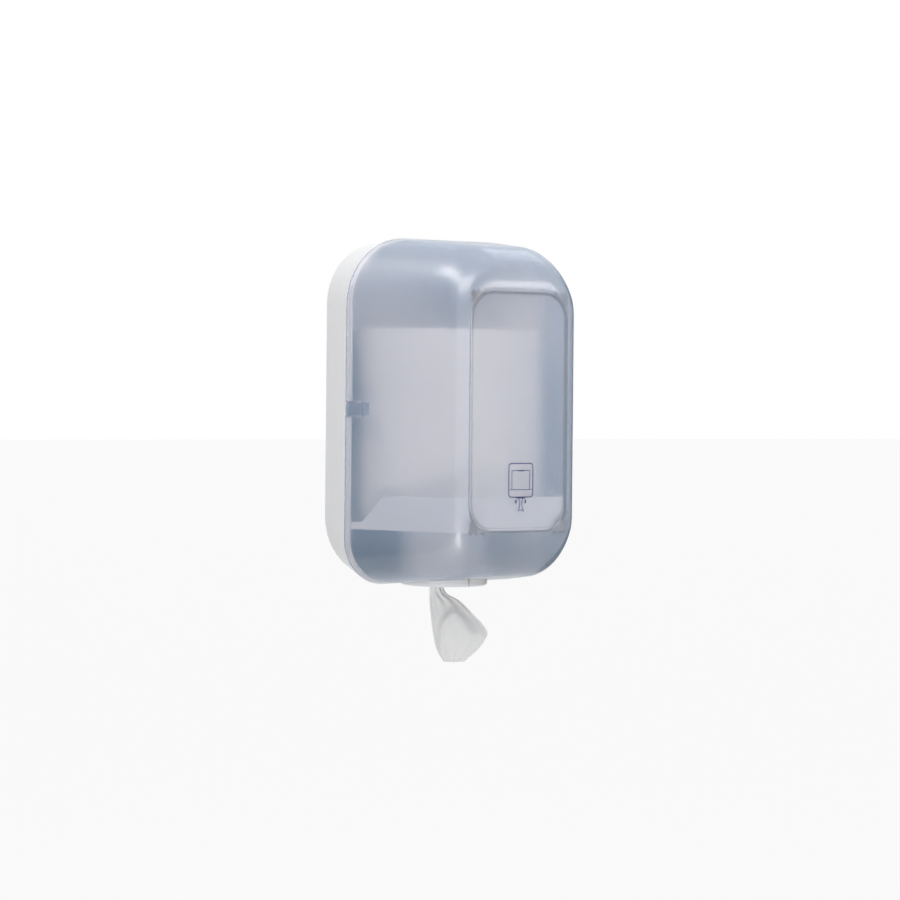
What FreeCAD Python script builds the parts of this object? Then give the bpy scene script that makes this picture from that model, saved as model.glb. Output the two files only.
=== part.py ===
import FreeCAD, Part

import math
import os

import Sketcher

# Centrefeed roll dispenser, in millimetres.
# Origin: middle of the wall side. +Z is up, the wall is the plane y = 0, and the front faces -Y.
# Depths are measured from the wall towards the front, so a depth d lies at y = -d.

os.makedirs("parts", exist_ok=True)
doc = FreeCAD.newDocument("CentrefeedDispenser")
sheet = doc.addObject("Spreadsheet::Sheet", "Sizes")

# Driving sizes
SIZES = {
    # outline of the tub and of the cover where they meet
    "rim_half_width": 122.0,
    "rim_half_height": 173.5,
    "rim_top_corner": 70.0,
    "rim_low_corner": 46.0,
    "rim_depth": 102.0,
    "parting_gap": 0.5,
    "cut_margin": 1.0,
    # tub
    "back_half_width": 78.5,
    "back_half_height": 173.0,
    "back_corner": 64.0,
    "base_wall": 2.5,
    "lip_rise": 3.5,
    "lip_root": 3.0,
    "lip_wall": 1.6,
    "lip_gap": 0.8,
    "rib_spacing": 44.0,
    "rib_width": 2.4,
    "rib_height": 1.8,
    "rib_length": 250.0,
    # wall screw holes
    "wall_hole_spacing": 90.0,
    "wall_hole_rise": 200.0,
    "wall_hole_radius": 2.6,
    "wall_pad_radius": 8.0,
    "wall_pad_height": 1.5,
    # cover
    "cover_depth": 126.0,
    "cover_wall": 2.5,
    "front_half_width": 58.0,
    "front_half_height": 119.0,
    "front_corner": 30.0,
    "shoulder_radius": 16.0,
    "crown_radius": 46.0,
    "mid_top_corner": 60.0,
    "mid_low_corner": 46.0,
    # sunk front panel
    "panel_half_width": 58.5,
    "panel_half_height": 118.0,
    "panel_corner": 27.0,
    "panel_sink": 2.0,
    # hinge on the right edge
    "hinge_rise": 65.0,
    "knuckle_radius": 4.0,
    "knuckle_gap": 0.4,
    "knuckle_room": 1.4,
    "hinge_length": 36.0,
    "cover_knuckle_length": 19.2,
    "gusset_reach": 14.0,
    "web_inset": 0.12,
    "pin_radius": 1.5,
    "pin_play": 0.06,
    # catch on the left edge
    "catch_rise": 1.5,
    "catch_slot_height": 13.0,
    "catch_slot_depth": 2.0,
    "catch_height": 12.0,
    "catch_thick": 3.0,
    "catch_tab_recess": 0.9,
    "catch_nose_slope": 0.6,
    "catch_arm_inset": 12.6,
    "catch_reach": 20.5,
    "catch_nose_length": 3.2,
    "catch_nose_grip": 2.2,
    "catch_tab_thick": 1.5,
    "catch_tail": 20.0,
    "catch_block_length": 5.0,
    "catch_block_depth": 12.0,
    "catch_travel": 3.0,
    "catch_gap": 0.3,
    "stop_width": 6.0,
    "stop_height": 4.0,
    "strike_thick": 3.0,
    "strike_height": 15.0,
    "strike_inset": 1.5,
    # guide of the catch
    "housing_wall": 1.5,
    "housing_ear": 8.5,
    "housing_post": 1.6,
    "ear_half_width": 4.2,
    "ear_end": 3.2,
    "boss_radius": 3.6,
    "boss_inset": 1.75,
    "catch_screw_radius": 1.4,
    "catch_screw_head": 2.8,
    "catch_screw_length": 9.0,
    "screw_play": 0.1,
    "spring_radius": 2.6,
    "spring_wire": 0.6,
    "spring_turns": 3.0,
    "bore_floor": 1.4,
    "housing_room": 0.4,
    # tray
    "tray_floor_z": -115.5,
    "tray_wall": 2.2,
    "tray_gap": 1.2,
    "tray_front_gap": 3.0,
    "tray_back_gap": 0.7,
    "tray_join": 12.0,
    "tray_lip_height": 31.5,
    "tray_low_lip": 5.0,
    "tray_lip_start": 14.0,
    "tray_lip_full": 38.0,
    "tray_corner": 14.0,
    "tray_rib_height": 2.0,
    "tray_rib_width": 1.8,
    "tray_rib_length": 26.0,
    "tray_rib_spacing": 44.0,
    "tray_rib_gap": 1.0,
    "ledge_width": 15.0,
    "ledge_screw_inset": 4.6,
    "ledge_screw_end": 7.0,
    "ledge_thick": 3.0,
    "ledge_start": 36.0,
    "ledge_end": 93.0,
    "tray_screw_radius": 1.5,
    "tray_screw_head": 3.2,
    "tray_screw_head_height": 2.0,
    "tray_screw_length": 12.0,
    "tray_boss_height": 12.0,
    "boss_wall": 2.2,
    # outlet
    "outlet_depth": 102.0,
    "collar_radius": 44.0,
    "collar_wall": 2.2,
    "collar_low_z": -176.5,
    "collar_gap": 2.0,
    "notch_height": 25.0,
    "collar_flange": 9.0,
    "collar_fit": 0.25,
    "collar_hook": 1.3,
    "hook_slope": 3.9,
    "thread_slot": 3.0,
    "nozzle_wall": 1.8,
    "nozzle_height": 12.0,
    "nozzle_throat": 8.0,
    "nozzle_seat": 2.0,
    "nozzle_fit": 0.1,
    "nozzle_drop": 9.0,
    "finger_slot": 1.6,
    "finger_reach": 16.0,
    "finger_count": 6,
    # paper
    "roll_radius": 95.5,
    "roll_bore": 30.0,
    "roll_height": 195.0,
    "paper_gap": 0.3,
    "strand_start_z": -28.0,
    "tail_spread_drop": 19.4,
    "tail_spread_reach": 24.8,
    "tail_wide_drop": 46.5,
    "tail_wide_reach": 49.6,
    "tail_turn_drop": 63.6,
    "tail_turn_reach": 46.0,
    "tail_length": 77.5,
    "tail_end_width": 27.0,
    "tail_end_shift": 7.0,
    "tail_ease": 1.0,
    "tail_thick": 1.2,
    "tail_fold": 5.0,
    "tail_turn": 30.0,
}

# Sizes that follow from the driving ones
DERIVED = {
    # lean of the side walls of the tub and of the cover, in millimetres per millimetre of depth
    "base_lean": "=(rim_half_width - back_half_width) / rim_depth",
    "base_stretch": "=sqrt(1 + base_lean^2)",
    "shoulder_start": "=cover_depth - shoulder_radius",
    "side_run": "=rim_half_width - front_half_width",
    "side_lean": "=(side_run * shoulder_start - shoulder_radius * sqrt(side_run^2 + shoulder_start^2"
    " - shoulder_radius^2)) / (shoulder_start^2 - shoulder_radius^2)",
    "side_stretch": "=sqrt(1 + side_lean^2)",
    "crown_start": "=cover_depth - crown_radius",
    "top_run": "=rim_half_height - front_half_height",
    "top_lean": "=(top_run * crown_start - crown_radius * sqrt(top_run^2 + crown_start^2"
    " - crown_radius^2)) / (crown_start^2 - crown_radius^2)",
    "top_stretch": "=sqrt(1 + top_lean^2)",
    "lip_inset": "=cover_wall + lip_gap",
    "lip_inner": "=lip_inset + lip_wall",
    "tray_rim_half": "=rim_half_width - lip_inner * side_stretch - tray_gap",
    "tray_front_depth": "=rim_depth + cover_depth - panel_sink - cover_wall - tray_front_gap",
    "roll_low_z": "=tray_floor_z + tray_rib_height + paper_gap",
    "notch_low_z": "=-rim_half_height - cut_margin",
    "nozzle_low_z": "=collar_low_z + nozzle_seat",
    "tab_depth": "=rim_depth + catch_gap",
    "nose_depth": "=rim_depth + catch_reach - catch_nose_length",
    "strike_depth": "=nose_depth - catch_gap - strike_thick",
    "catch_arm_x": "=rim_half_width - catch_arm_inset",
    "housing_mouth": "=catch_arm_x - catch_thick - catch_gap",
    "catch_mid_depth": "=rim_depth - catch_tail + catch_block_depth / 2",
    "catch_screw_rise": "=catch_height / 2 + housing_ear - ear_end",
    "housing_end": "=catch_arm_x - catch_thick - catch_block_length - catch_travel - housing_room",
    "spring_length": "=catch_block_length - bore_floor + housing_room - catch_gap",
    "spring_pitch": "=(spring_length - spring_wire) / spring_turns",
}


def fill_sheet():
    row = 1
    for table in (SIZES, DERIVED):
        for alias, content in table.items():
            sheet.set(f"A{row}", alias.replace("_", " "))
            sheet.set(f"B{row}", str(content))
            sheet.setAlias(f"B{row}", alias)
            row += 1
    doc.recompute()


fill_sheet()


def value(expression):
    """The number that an expression of the sheet's sizes gives."""
    return float(sheet.evalExpression(expression))


# Sketches


def new_body(label):
    body = doc.addObject("PartDesign::Body", label)
    body.Label = label
    return body


def flat_sketch(body, name, role, offset="0"):
    """A sketch on one of the body's own origin planes, moved along the plane's normal."""
    sketch = body.newObject("Sketcher::SketchObject", name)
    plane = next(item for item in body.Origin.OriginFeatures if item.Role == role)
    sketch.AttachmentSupport = [(plane, "")]
    sketch.MapMode = "FlatFace"
    sketch.AttachmentOffset = FreeCAD.Placement(
        FreeCAD.Vector(0, 0, value(offset)), FreeCAD.Rotation()
    )
    sketch.setExpression("AttachmentOffset.Base.z", offset)
    return sketch


def bind(sketch, kind, places, expression):
    """A constraint of a sketch whose size follows an expression."""
    index = sketch.addConstraint(Sketcher.Constraint(kind, *places, value(expression)))
    sketch.setExpression(f"Constraints[{index}]", expression)


def point(x, y):
    return FreeCAD.Vector(x, y, 0)


def hold_point(sketch, item, end, x, y):
    """Places one end of a sketch item by its two distances from the sketch's origin."""
    for kind, expression in (("DistanceX", x), ("DistanceY", y)):
        size = value(expression)
        if abs(size) < 1e-9:
            place = ("PointOnObject", item, end, -2 if kind == "DistanceX" else -1)
            sketch.addConstraint(Sketcher.Constraint(*place))
        elif size > 0:
            bind(sketch, kind, (-1, 1, item, end), expression)
        else:
            bind(sketch, kind, (item, end, -1, 1), f"-({expression})")


def add_polygon(sketch, corners):
    """A closed outline of straight lines, each corner given by two expressions."""
    places = [point(value(x), value(y)) for x, y in corners]
    count = len(corners)
    first = sketch.GeometryCount
    for i in range(count):
        sketch.addGeometry(Part.LineSegment(places[i], places[(i + 1) % count]), False)
    for i in range(count):
        other = first + (i + 1) % count
        sketch.addConstraint(Sketcher.Constraint("Coincident", first + i, 2, other, 1))
        hold_point(sketch, first + i, 1, *corners[i])


def add_circle(sketch, x, y, radius):
    circle = Part.Circle(point(value(x), value(y)), FreeCAD.Vector(0, 0, 1), value(radius))
    item = sketch.addGeometry(circle, False)
    hold_point(sketch, item, 3, x, y)
    bind(sketch, "Radius", (item,), radius)


def add_round_rectangle(sketch, half_width, half_height, top_radius, low_radius):
    """A rectangle about the sketch's origin, with one radius above and another below."""
    a, b = value(half_width), value(half_height)
    rt, rl = value(top_radius), value(low_radius)
    corners = (
        (a - rt, b - rt, rt, 0.0),
        (-a + rt, b - rt, rt, 0.5),
        (-a + rl, -b + rl, rl, 1.0),
        (a - rl, -b + rl, rl, 1.5),
    )
    ends = []
    for x, y, radius, turn in corners:
        start = turn * math.pi
        circle = Part.Circle(point(x, y), FreeCAD.Vector(0, 0, 1), radius)
        arc = Part.ArcOfCircle(circle, start, start + math.pi / 2)
        ends.append((arc, arc.StartPoint, arc.EndPoint))
    for i in range(4):
        before, here = ends[i - 1], ends[i]
        sketch.addGeometry(Part.LineSegment(before[2], here[1]), False)
        sketch.addGeometry(here[0], False)
    for i in range(4):
        line, arc, following = 2 * i, 2 * i + 1, (2 * i + 2) % 8
        sketch.addConstraint(Sketcher.Constraint("Tangent", line, 2, arc, 1))
        sketch.addConstraint(Sketcher.Constraint("Tangent", arc, 2, following, 1))
    sketch.addConstraint(Sketcher.Constraint("Vertical", 0))
    sketch.addConstraint(Sketcher.Constraint("Horizontal", 2))
    sketch.addConstraint(Sketcher.Constraint("Vertical", 4))
    sketch.addConstraint(Sketcher.Constraint("Horizontal", 6))
    bind(sketch, "DistanceX", (-1, 1, 0, 1), half_width)
    bind(sketch, "DistanceY", (-1, 1, 2, 1), half_height)
    bind(sketch, "DistanceX", (4, 1, -1, 1), half_width)
    bind(sketch, "DistanceY", (6, 1, -1, 1), half_height)
    for arc, radius in ((1, top_radius), (3, top_radius), (5, low_radius), (7, low_radius)):
        bind(sketch, "Radius", (arc,), radius)


# Features


def feature(body, kind, name, sketch, **settings):
    item = body.newObject(f"PartDesign::{kind}", name)
    item.Profile = sketch
    for key, content in settings.items():
        if isinstance(content, str) and key in ("Length", "Angle", "Length2"):
            item.setExpression(key, content)
        else:
            setattr(item, key, content)
    sketch.Visibility = False
    return item


def pad(body, name, sketch, length, both_ways=False, back=False):
    return feature(
        body, "Pad", name, sketch, Length=length, Midplane=both_ways, Reversed=back
    )


def pocket(body, name, sketch, length, both_ways=False, back=False):
    return feature(
        body, "Pocket", name, sketch, Length=length, Midplane=both_ways, Reversed=back
    )


def loft(body, name, kind, sketches, ruled=True):
    item = body.newObject(f"PartDesign::{kind}Loft", name)
    item.Profile = sketches[0]
    item.Sections = sketches[1:]
    item.Ruled = ruled
    for sketch in sketches:
        sketch.Visibility = False
    return item


def turned(body, name, sketch):
    """A full turn of a profile about the sketch's upright axis."""
    item = body.newObject("PartDesign::Revolution", name)
    item.Profile = sketch
    item.ReferenceAxis = (sketch, ["V_Axis"])
    item.Angle = 360.0
    sketch.Visibility = False
    return item


# Outlines that the tub and the cover share


def cover_sizes(depth, inset):
    """Half width, half height and corner radii of the cover at a depth past the rim."""
    side_end = f"(Sizes.shoulder_start + (Sizes.shoulder_radius - ({inset})) * Sizes.side_lean"
    side_end += " / Sizes.side_stretch)"
    side = f"(Sizes.rim_half_width - Sizes.side_lean * ({depth}) - ({inset}) * Sizes.side_stretch)"
    shoulder = f"(Sizes.front_half_width + sqrt(abs((Sizes.shoulder_radius - ({inset}))^2"
    shoulder += f" - (({depth}) - Sizes.shoulder_start)^2)))"
    top_end = f"(Sizes.crown_start + (Sizes.crown_radius - ({inset})) * Sizes.top_lean"
    top_end += " / Sizes.top_stretch)"
    top = f"(Sizes.rim_half_height - Sizes.top_lean * ({depth}) - ({inset}) * Sizes.top_stretch)"
    crown = f"(Sizes.front_half_height + sqrt(abs((Sizes.crown_radius - ({inset}))^2"
    crown += f" - (({depth}) - Sizes.crown_start)^2)))"
    sizes = [
        f"({depth}) < {side_end} ? {side} : {shoulder}",
        f"({depth}) < {top_end} ? {top} : {crown}",
    ]
    for place in ("top", "low"):
        rim, mid = f"Sizes.rim_{place}_corner", f"Sizes.mid_{place}_corner"
        straight = f"({rim} + ({mid} - {rim}) * ({depth}) / Sizes.crown_start)"
        bend = f"sqrt(abs(1 - ((({depth}) - Sizes.crown_start)"
        bend += f" / (Sizes.crown_radius - ({inset})))^2))"
        curved = f"(Sizes.front_corner + ({mid} - Sizes.front_corner) * {bend})"
        sizes.append(
            f"(({depth}) < Sizes.crown_start ? {straight} : {curved}) - ({inset})"
        )
    return sizes


def cover_outline(body, name, depth, inset):
    sketch = flat_sketch(body, name, "XZ_Plane", f"Sizes.rim_depth + ({depth})")
    add_round_rectangle(sketch, *cover_sizes(depth, inset))
    return sketch


def tub_outline(body, name, depth, wall):
    """The tub at a depth from the wall, or its hollow, one wall further in."""
    share = f"(({depth}) / Sizes.rim_depth)"
    half_width = f"Sizes.back_half_width + Sizes.base_lean * ({depth}) - ({wall}) * Sizes.base_stretch"
    half_height = f"Sizes.back_half_height + (Sizes.rim_half_height - Sizes.back_half_height) * {share}"
    radii = [
        f"Sizes.back_corner + (Sizes.rim_{place}_corner - Sizes.back_corner) * {share} - ({wall})"
        for place in ("top", "low")
    ]
    sketch = flat_sketch(body, name, "XZ_Plane", depth)
    add_round_rectangle(sketch, half_width, f"{half_height} - ({wall})", *radii)
    return sketch


# the straight walls are lofted in these spans
TUB_SPANS = 5
COVER_SPANS = 4
HINGES = {"Upper": 1, "Lower": -1}
HINGE_X = "Sizes.rim_half_width"
HINGE_Y = "-Sizes.rim_depth"
WEB_EDGE = "Sizes.rim_half_width + Sizes.knuckle_radius - Sizes.web_inset"
WALL_MIDDLE = "Sizes.rim_half_width - Sizes.cover_wall / 2"


def hinge_z(side):
    return f"{side} * Sizes.hinge_rise"


def catch_polygon(sketch, corners):
    """Corners given as distance to the left of the middle and depth from the wall."""
    add_polygon(sketch, [(f"-({x})", f"-({depth})") for x, depth in corners])


# Tub that is screwed to the wall


def make_base_shell():
    body = new_body("base_shell")
    rim = "(Sizes.rim_depth - Sizes.parting_gap)"
    steps = range(TUB_SPANS + 1)
    outside = [tub_outline(body, f"Tub{i}", f"{rim} * {i} / {TUB_SPANS}", "0") for i in steps]
    loft(body, "Tub", "Additive", outside)
    root, crest = "-Sizes.lip_root", "Sizes.lip_rise"
    lip = [
        cover_outline(body, "LipRoot", root, "Sizes.lip_inset"),
        cover_outline(body, "LipMiddle", "0", "Sizes.lip_inset"),
        cover_outline(body, "LipCrest", crest, "Sizes.lip_inset"),
    ]
    loft(body, "Lip", "Additive", lip)
    # the tub's wall keeps its thickness up to the neck, where the lip's wall begins
    back, bend = "Sizes.base_wall", "(Sizes.rim_depth - Sizes.tray_join)"
    hollow = []
    for i in steps:
        depth = f"{back} + ({bend} - {back}) * {i} / {TUB_SPANS}"
        hollow.append(tub_outline(body, f"Hollow{i}", depth, "Sizes.base_wall"))
    hollow.append(cover_outline(body, "HollowNeck", root, "Sizes.lip_inner"))
    hollow.append(cover_outline(body, "HollowMouth", crest, "Sizes.lip_inner"))
    loft(body, "Hollow", "Subtractive", hollow)

    # notch round the outlet collar
    notch = flat_sketch(body, "CollarNotch", "XY_Plane", "Sizes.notch_low_z")
    add_circle(notch, "0", "-Sizes.outlet_depth", "Sizes.collar_radius + Sizes.collar_gap")
    pocket(body, "CollarCut", notch, "Sizes.notch_height", back=True)

    # gap in the lip for the catch
    outside = "Sizes.rim_half_width + Sizes.cut_margin"
    inside = "Sizes.catch_arm_x + Sizes.catch_gap"
    gap = flat_sketch(body, "CatchGap", "XY_Plane", "Sizes.catch_rise")
    catch_polygon(
        gap,
        [
            (outside, "Sizes.rim_depth - Sizes.parting_gap / 2"),
            (outside, "Sizes.rim_depth + Sizes.lip_rise + Sizes.cut_margin"),
            (inside, "Sizes.rim_depth + Sizes.lip_rise + Sizes.cut_margin"),
            (inside, "Sizes.rim_depth - Sizes.parting_gap / 2"),
        ],
    )
    gap_height = "Sizes.catch_slot_height + 2 * Sizes.cut_margin"
    pocket(body, "CatchCut", gap, gap_height, both_ways=True)

    # stiffening ribs and screw pads on the back
    ribs = flat_sketch(body, "RibOutline", "XZ_Plane", "Sizes.base_wall")
    for side in (1, -1):
        x = f"{side} * Sizes.rib_spacing / 2"
        add_polygon(
            ribs,
            [
                (f"{x} - Sizes.rib_width / 2", "-Sizes.rib_length / 2"),
                (f"{x} + Sizes.rib_width / 2", "-Sizes.rib_length / 2"),
                (f"{x} + Sizes.rib_width / 2", "Sizes.rib_length / 2"),
                (f"{x} - Sizes.rib_width / 2", "Sizes.rib_length / 2"),
            ],
        )
    pad(body, "Ribs", ribs, "Sizes.rib_height")
    pads = flat_sketch(body, "WallPads", "XZ_Plane", "Sizes.base_wall")
    holes = flat_sketch(body, "WallHoles", "XZ_Plane", "0")
    for side in (1, -1):
        for level in (1, -1):
            x = f"{side} * Sizes.wall_hole_spacing / 2"
            z = f"{level} * Sizes.wall_hole_rise / 2"
            add_circle(pads, x, z, "Sizes.wall_pad_radius")
            add_circle(holes, x, z, "Sizes.wall_hole_radius")
    pad(body, "Pads", pads, "Sizes.wall_pad_height")
    hole_length = "Sizes.base_wall + Sizes.wall_pad_height + Sizes.cut_margin"
    pocket(body, "Holes", holes, hole_length, back=True)

    # ledges and bosses under the tray
    ledge_z = "Sizes.tray_floor_z - Sizes.tray_wall"
    for name, side in (("Right", 1), ("Left", -1)):
        ledge = flat_sketch(body, f"Ledge{name}", "XY_Plane", ledge_z)
        corners = []
        for depth in ("Sizes.ledge_start", "Sizes.ledge_end"):
            wall_mid = f"(Sizes.back_half_width + Sizes.base_lean * {depth} - Sizes.base_wall / 2)"
            corners.append((f"{side} * {wall_mid}", f"-{depth}"))
        for depth in ("Sizes.ledge_end", "Sizes.ledge_start"):
            inside = f"(Sizes.back_half_width + Sizes.base_lean * {depth} - Sizes.ledge_width)"
            corners.append((f"{side} * {inside}", f"-{depth}"))
        add_polygon(ledge, corners)
        pad(body, f"LedgePad{name}", ledge, "Sizes.ledge_thick", back=True)
    bosses = flat_sketch(body, "TrayBosses", "XY_Plane", ledge_z)
    bores = flat_sketch(body, "TrayBores", "XY_Plane", ledge_z)
    for x, y in tray_screw_places():
        add_circle(bosses, x, y, "Sizes.tray_screw_radius + Sizes.boss_wall")
        add_circle(bores, x, y, "Sizes.tray_screw_radius")
    pad(body, "TrayBossPads", bosses, "Sizes.tray_boss_height", back=True)
    bore_length = "Sizes.tray_screw_length - Sizes.tray_wall + Sizes.catch_gap"
    pocket(body, "TrayBossBores", bores, bore_length)

    # bosses and stop for the catch
    boss_face = "-Sizes.housing_mouth"
    guide = flat_sketch(body, "CatchBosses", "YZ_Plane", boss_face)
    bore = flat_sketch(body, "CatchBossBores", "YZ_Plane", boss_face)
    for level in (1, -1):
        z = catch_screw_z(level)
        add_circle(guide, "-Sizes.catch_mid_depth", z, "Sizes.boss_radius")
        add_circle(bore, "-Sizes.catch_mid_depth", z, "Sizes.catch_screw_radius")
    boss_length = "Sizes.back_half_width + Sizes.base_lean * Sizes.catch_mid_depth"
    boss_length += " - Sizes.housing_mouth - Sizes.boss_inset"
    pad(body, "CatchBossPads", guide, boss_length, back=True)
    pocket(body, "CatchBossCuts", bore, "Sizes.catch_screw_length - Sizes.housing_wall")
    stop = flat_sketch(body, "CatchStop", "XY_Plane", "Sizes.catch_rise")
    stop_near = "Sizes.catch_mid_depth - Sizes.stop_width / 2"
    stop_far = "Sizes.catch_mid_depth + Sizes.stop_width / 2"
    wall_at = "Sizes.back_half_width + Sizes.base_lean * ({}) - Sizes.base_wall / 2"
    catch_polygon(
        stop,
        [
            (wall_at.format(stop_near), stop_near),
            (wall_at.format(stop_far), stop_far),
            ("Sizes.catch_arm_x + Sizes.catch_gap", stop_far),
            ("Sizes.catch_arm_x + Sizes.catch_gap", stop_near),
        ],
    )
    pad(body, "CatchStopPad", stop, "Sizes.stop_height", both_ways=True)

    # hinge knuckles
    for name, side in HINGES.items():
        z = hinge_z(side)
        room = flat_sketch(body, f"KnuckleRoom{name}", "XY_Plane", z)
        add_circle(room, HINGE_X, HINGE_Y, "Sizes.knuckle_radius")
        pad(body, f"Knuckles{name}", room, "Sizes.hinge_length", both_ways=True)
        web = flat_sketch(body, f"KnuckleWeb{name}", "XY_Plane", z)
        reach = "(Sizes.rim_depth - Sizes.gusset_reach)"
        add_polygon(
            web,
            [
                (WEB_EDGE, HINGE_Y),
                (
                    f"Sizes.back_half_width + Sizes.base_lean * {reach} - Sizes.base_wall / 2",
                    f"-{reach}",
                ),
                (WALL_MIDDLE, "-(Sizes.rim_depth - Sizes.parting_gap)"),
            ],
        )
        pad(body, f"KnuckleWebs{name}", web, "Sizes.hinge_length", both_ways=True)
        between = flat_sketch(body, f"KnuckleCut{name}", "XY_Plane", z)
        add_circle(between, HINGE_X, HINGE_Y, "Sizes.knuckle_radius + Sizes.knuckle_room")
        pocket(
            body,
            f"KnuckleCuts{name}",
            between,
            "Sizes.cover_knuckle_length + 2 * Sizes.knuckle_gap",
            both_ways=True,
        )
        bore = flat_sketch(body, f"PinBore{name}", "XY_Plane", z)
        add_circle(bore, HINGE_X, HINGE_Y, "Sizes.pin_radius")
        pocket(body, f"PinBores{name}", bore, "Sizes.hinge_length", both_ways=True)
    return body


def tray_screw_places():
    """Two screws on each side of the tray, over the middle of the ledges."""
    places = []
    for side in (1, -1):
        for depth in (
            "(Sizes.ledge_start + Sizes.ledge_screw_end)",
            "(Sizes.ledge_end - Sizes.ledge_screw_end)",
        ):
            x = f"(Sizes.back_half_width + Sizes.base_lean * {depth} - Sizes.ledge_width"
            x += " + Sizes.ledge_screw_inset)"
            places.append((f"{side} * {x}", f"-{depth}"))
    return places


# Cover that swings on the right edge

CROWN_TURNS = (0, 16, 30, 43, 55, 65, 74, 82, 90)


def cover_loft(body, name, kind, inset):
    """The cover's form: straight from the rim to the crown, and round from there to the front."""
    depths = [f"Sizes.crown_start * {i} / {COVER_SPANS}" for i in range(COVER_SPANS)]
    for turn in CROWN_TURNS:
        depths.append(f"Sizes.crown_start + (Sizes.crown_radius - ({inset})) * sin({turn} deg)")
    sketches = [
        cover_outline(body, f"{name}{i}", depth, inset) for i, depth in enumerate(depths)
    ]
    return loft(body, name, kind, sketches)


def make_front_cover():
    body = new_body("front_cover")
    cover_loft(body, "Outside", "Additive", "0")
    cover_loft(body, "Inside", "Subtractive", "Sizes.cover_wall")

    # sunk panel, with its own wall behind it
    behind = flat_sketch(
        body,
        "PanelBack",
        "XZ_Plane",
        "Sizes.rim_depth + Sizes.cover_depth - Sizes.cover_wall",
    )
    panel = ("Sizes.panel_half_width", "Sizes.panel_half_height")
    corner = "Sizes.panel_corner"
    add_round_rectangle(behind, *panel, corner, corner)
    pad(body, "PanelWall", behind, "Sizes.panel_sink", back=True)
    face = flat_sketch(
        body, "PanelFace", "XZ_Plane", "Sizes.rim_depth + Sizes.cover_depth"
    )
    add_round_rectangle(face, *panel, corner, corner)
    pocket(body, "PanelSink", face, "Sizes.panel_sink")

    # notch round the outlet collar
    notch = flat_sketch(body, "CollarNotch", "XY_Plane", "Sizes.notch_low_z")
    add_circle(notch, "0", "-Sizes.outlet_depth", "Sizes.collar_radius + Sizes.collar_gap")
    pocket(body, "CollarCut", notch, "Sizes.notch_height", back=True)

    # slot that shows the catch
    outside = "Sizes.rim_half_width + Sizes.cut_margin"
    slot = flat_sketch(body, "CatchSlot", "XY_Plane", "Sizes.catch_rise")
    catch_polygon(
        slot,
        [
            (outside, "Sizes.rim_depth - Sizes.cut_margin"),
            (outside, "Sizes.rim_depth + Sizes.catch_slot_depth"),
            ("Sizes.catch_arm_x", "Sizes.rim_depth + Sizes.catch_slot_depth"),
            ("Sizes.catch_arm_x", "Sizes.rim_depth - Sizes.cut_margin"),
        ],
    )
    pocket(body, "CatchSlotCut", slot, "Sizes.catch_slot_height", both_ways=True)

    # strike that the catch hooks over
    strike = flat_sketch(body, "Strike", "XY_Plane", "Sizes.catch_rise")
    wall_at = "Sizes.rim_half_width - Sizes.side_lean * (({}) - Sizes.rim_depth)"
    wall_at += " - Sizes.strike_inset"
    near = "Sizes.strike_depth"
    foot = "Sizes.strike_depth - Sizes.strike_thick"
    far = "Sizes.strike_depth + Sizes.strike_thick"
    tip = "Sizes.catch_arm_x + Sizes.catch_gap + Sizes.knuckle_gap / 2"
    catch_polygon(
        strike,
        [
            (wall_at.format(foot), foot),
            (wall_at.format(far), far),
            (tip, far),
            (tip, near),
        ],
    )
    pad(body, "StrikeRib", strike, "Sizes.strike_height", both_ways=True)

    # hinge knuckles
    for name, side in HINGES.items():
        z = hinge_z(side)
        room = flat_sketch(body, f"KnuckleRoom{name}", "XY_Plane", z)
        add_circle(room, HINGE_X, HINGE_Y, "Sizes.knuckle_radius + Sizes.knuckle_gap")
        pocket(
            body,
            f"KnuckleRooms{name}",
            room,
            "Sizes.hinge_length + 2 * Sizes.knuckle_gap",
            both_ways=True,
        )
        barrel = flat_sketch(body, f"Knuckle{name}", "XY_Plane", z)
        add_circle(barrel, HINGE_X, HINGE_Y, "Sizes.knuckle_radius")
        pad(body, f"Knuckles{name}", barrel, "Sizes.cover_knuckle_length", both_ways=True)
        web = flat_sketch(body, f"KnuckleWeb{name}", "XY_Plane", z)
        reach = "Sizes.gusset_reach"
        add_polygon(
            web,
            [
                (WEB_EDGE, HINGE_Y),
                (
                    f"Sizes.rim_half_width - Sizes.side_lean * {reach} - Sizes.cover_wall / 2",
                    f"-(Sizes.rim_depth + {reach})",
                ),
                (WALL_MIDDLE, HINGE_Y),
            ],
        )
        pad(body, f"KnuckleWebs{name}", web, "Sizes.cover_knuckle_length", both_ways=True)
        bore = flat_sketch(body, f"PinBore{name}", "XY_Plane", z)
        add_circle(bore, HINGE_X, HINGE_Y, "Sizes.pin_radius + Sizes.pin_play")
        pocket(body, f"PinBores{name}", bore, "Sizes.hinge_length", both_ways=True)
    return body


def make_hinge_pin(name, side):
    body = new_body(f"hinge_pin_{name}")
    outline = flat_sketch(body, "PinOutline", "XY_Plane", hinge_z(side))
    add_circle(outline, HINGE_X, HINGE_Y, "Sizes.pin_radius")
    pad(body, "Pin", outline, "Sizes.hinge_length", both_ways=True)
    return body


# Catch


CATCH_SCREW_HOLE = "Sizes.catch_screw_radius + Sizes.screw_play"


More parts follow.
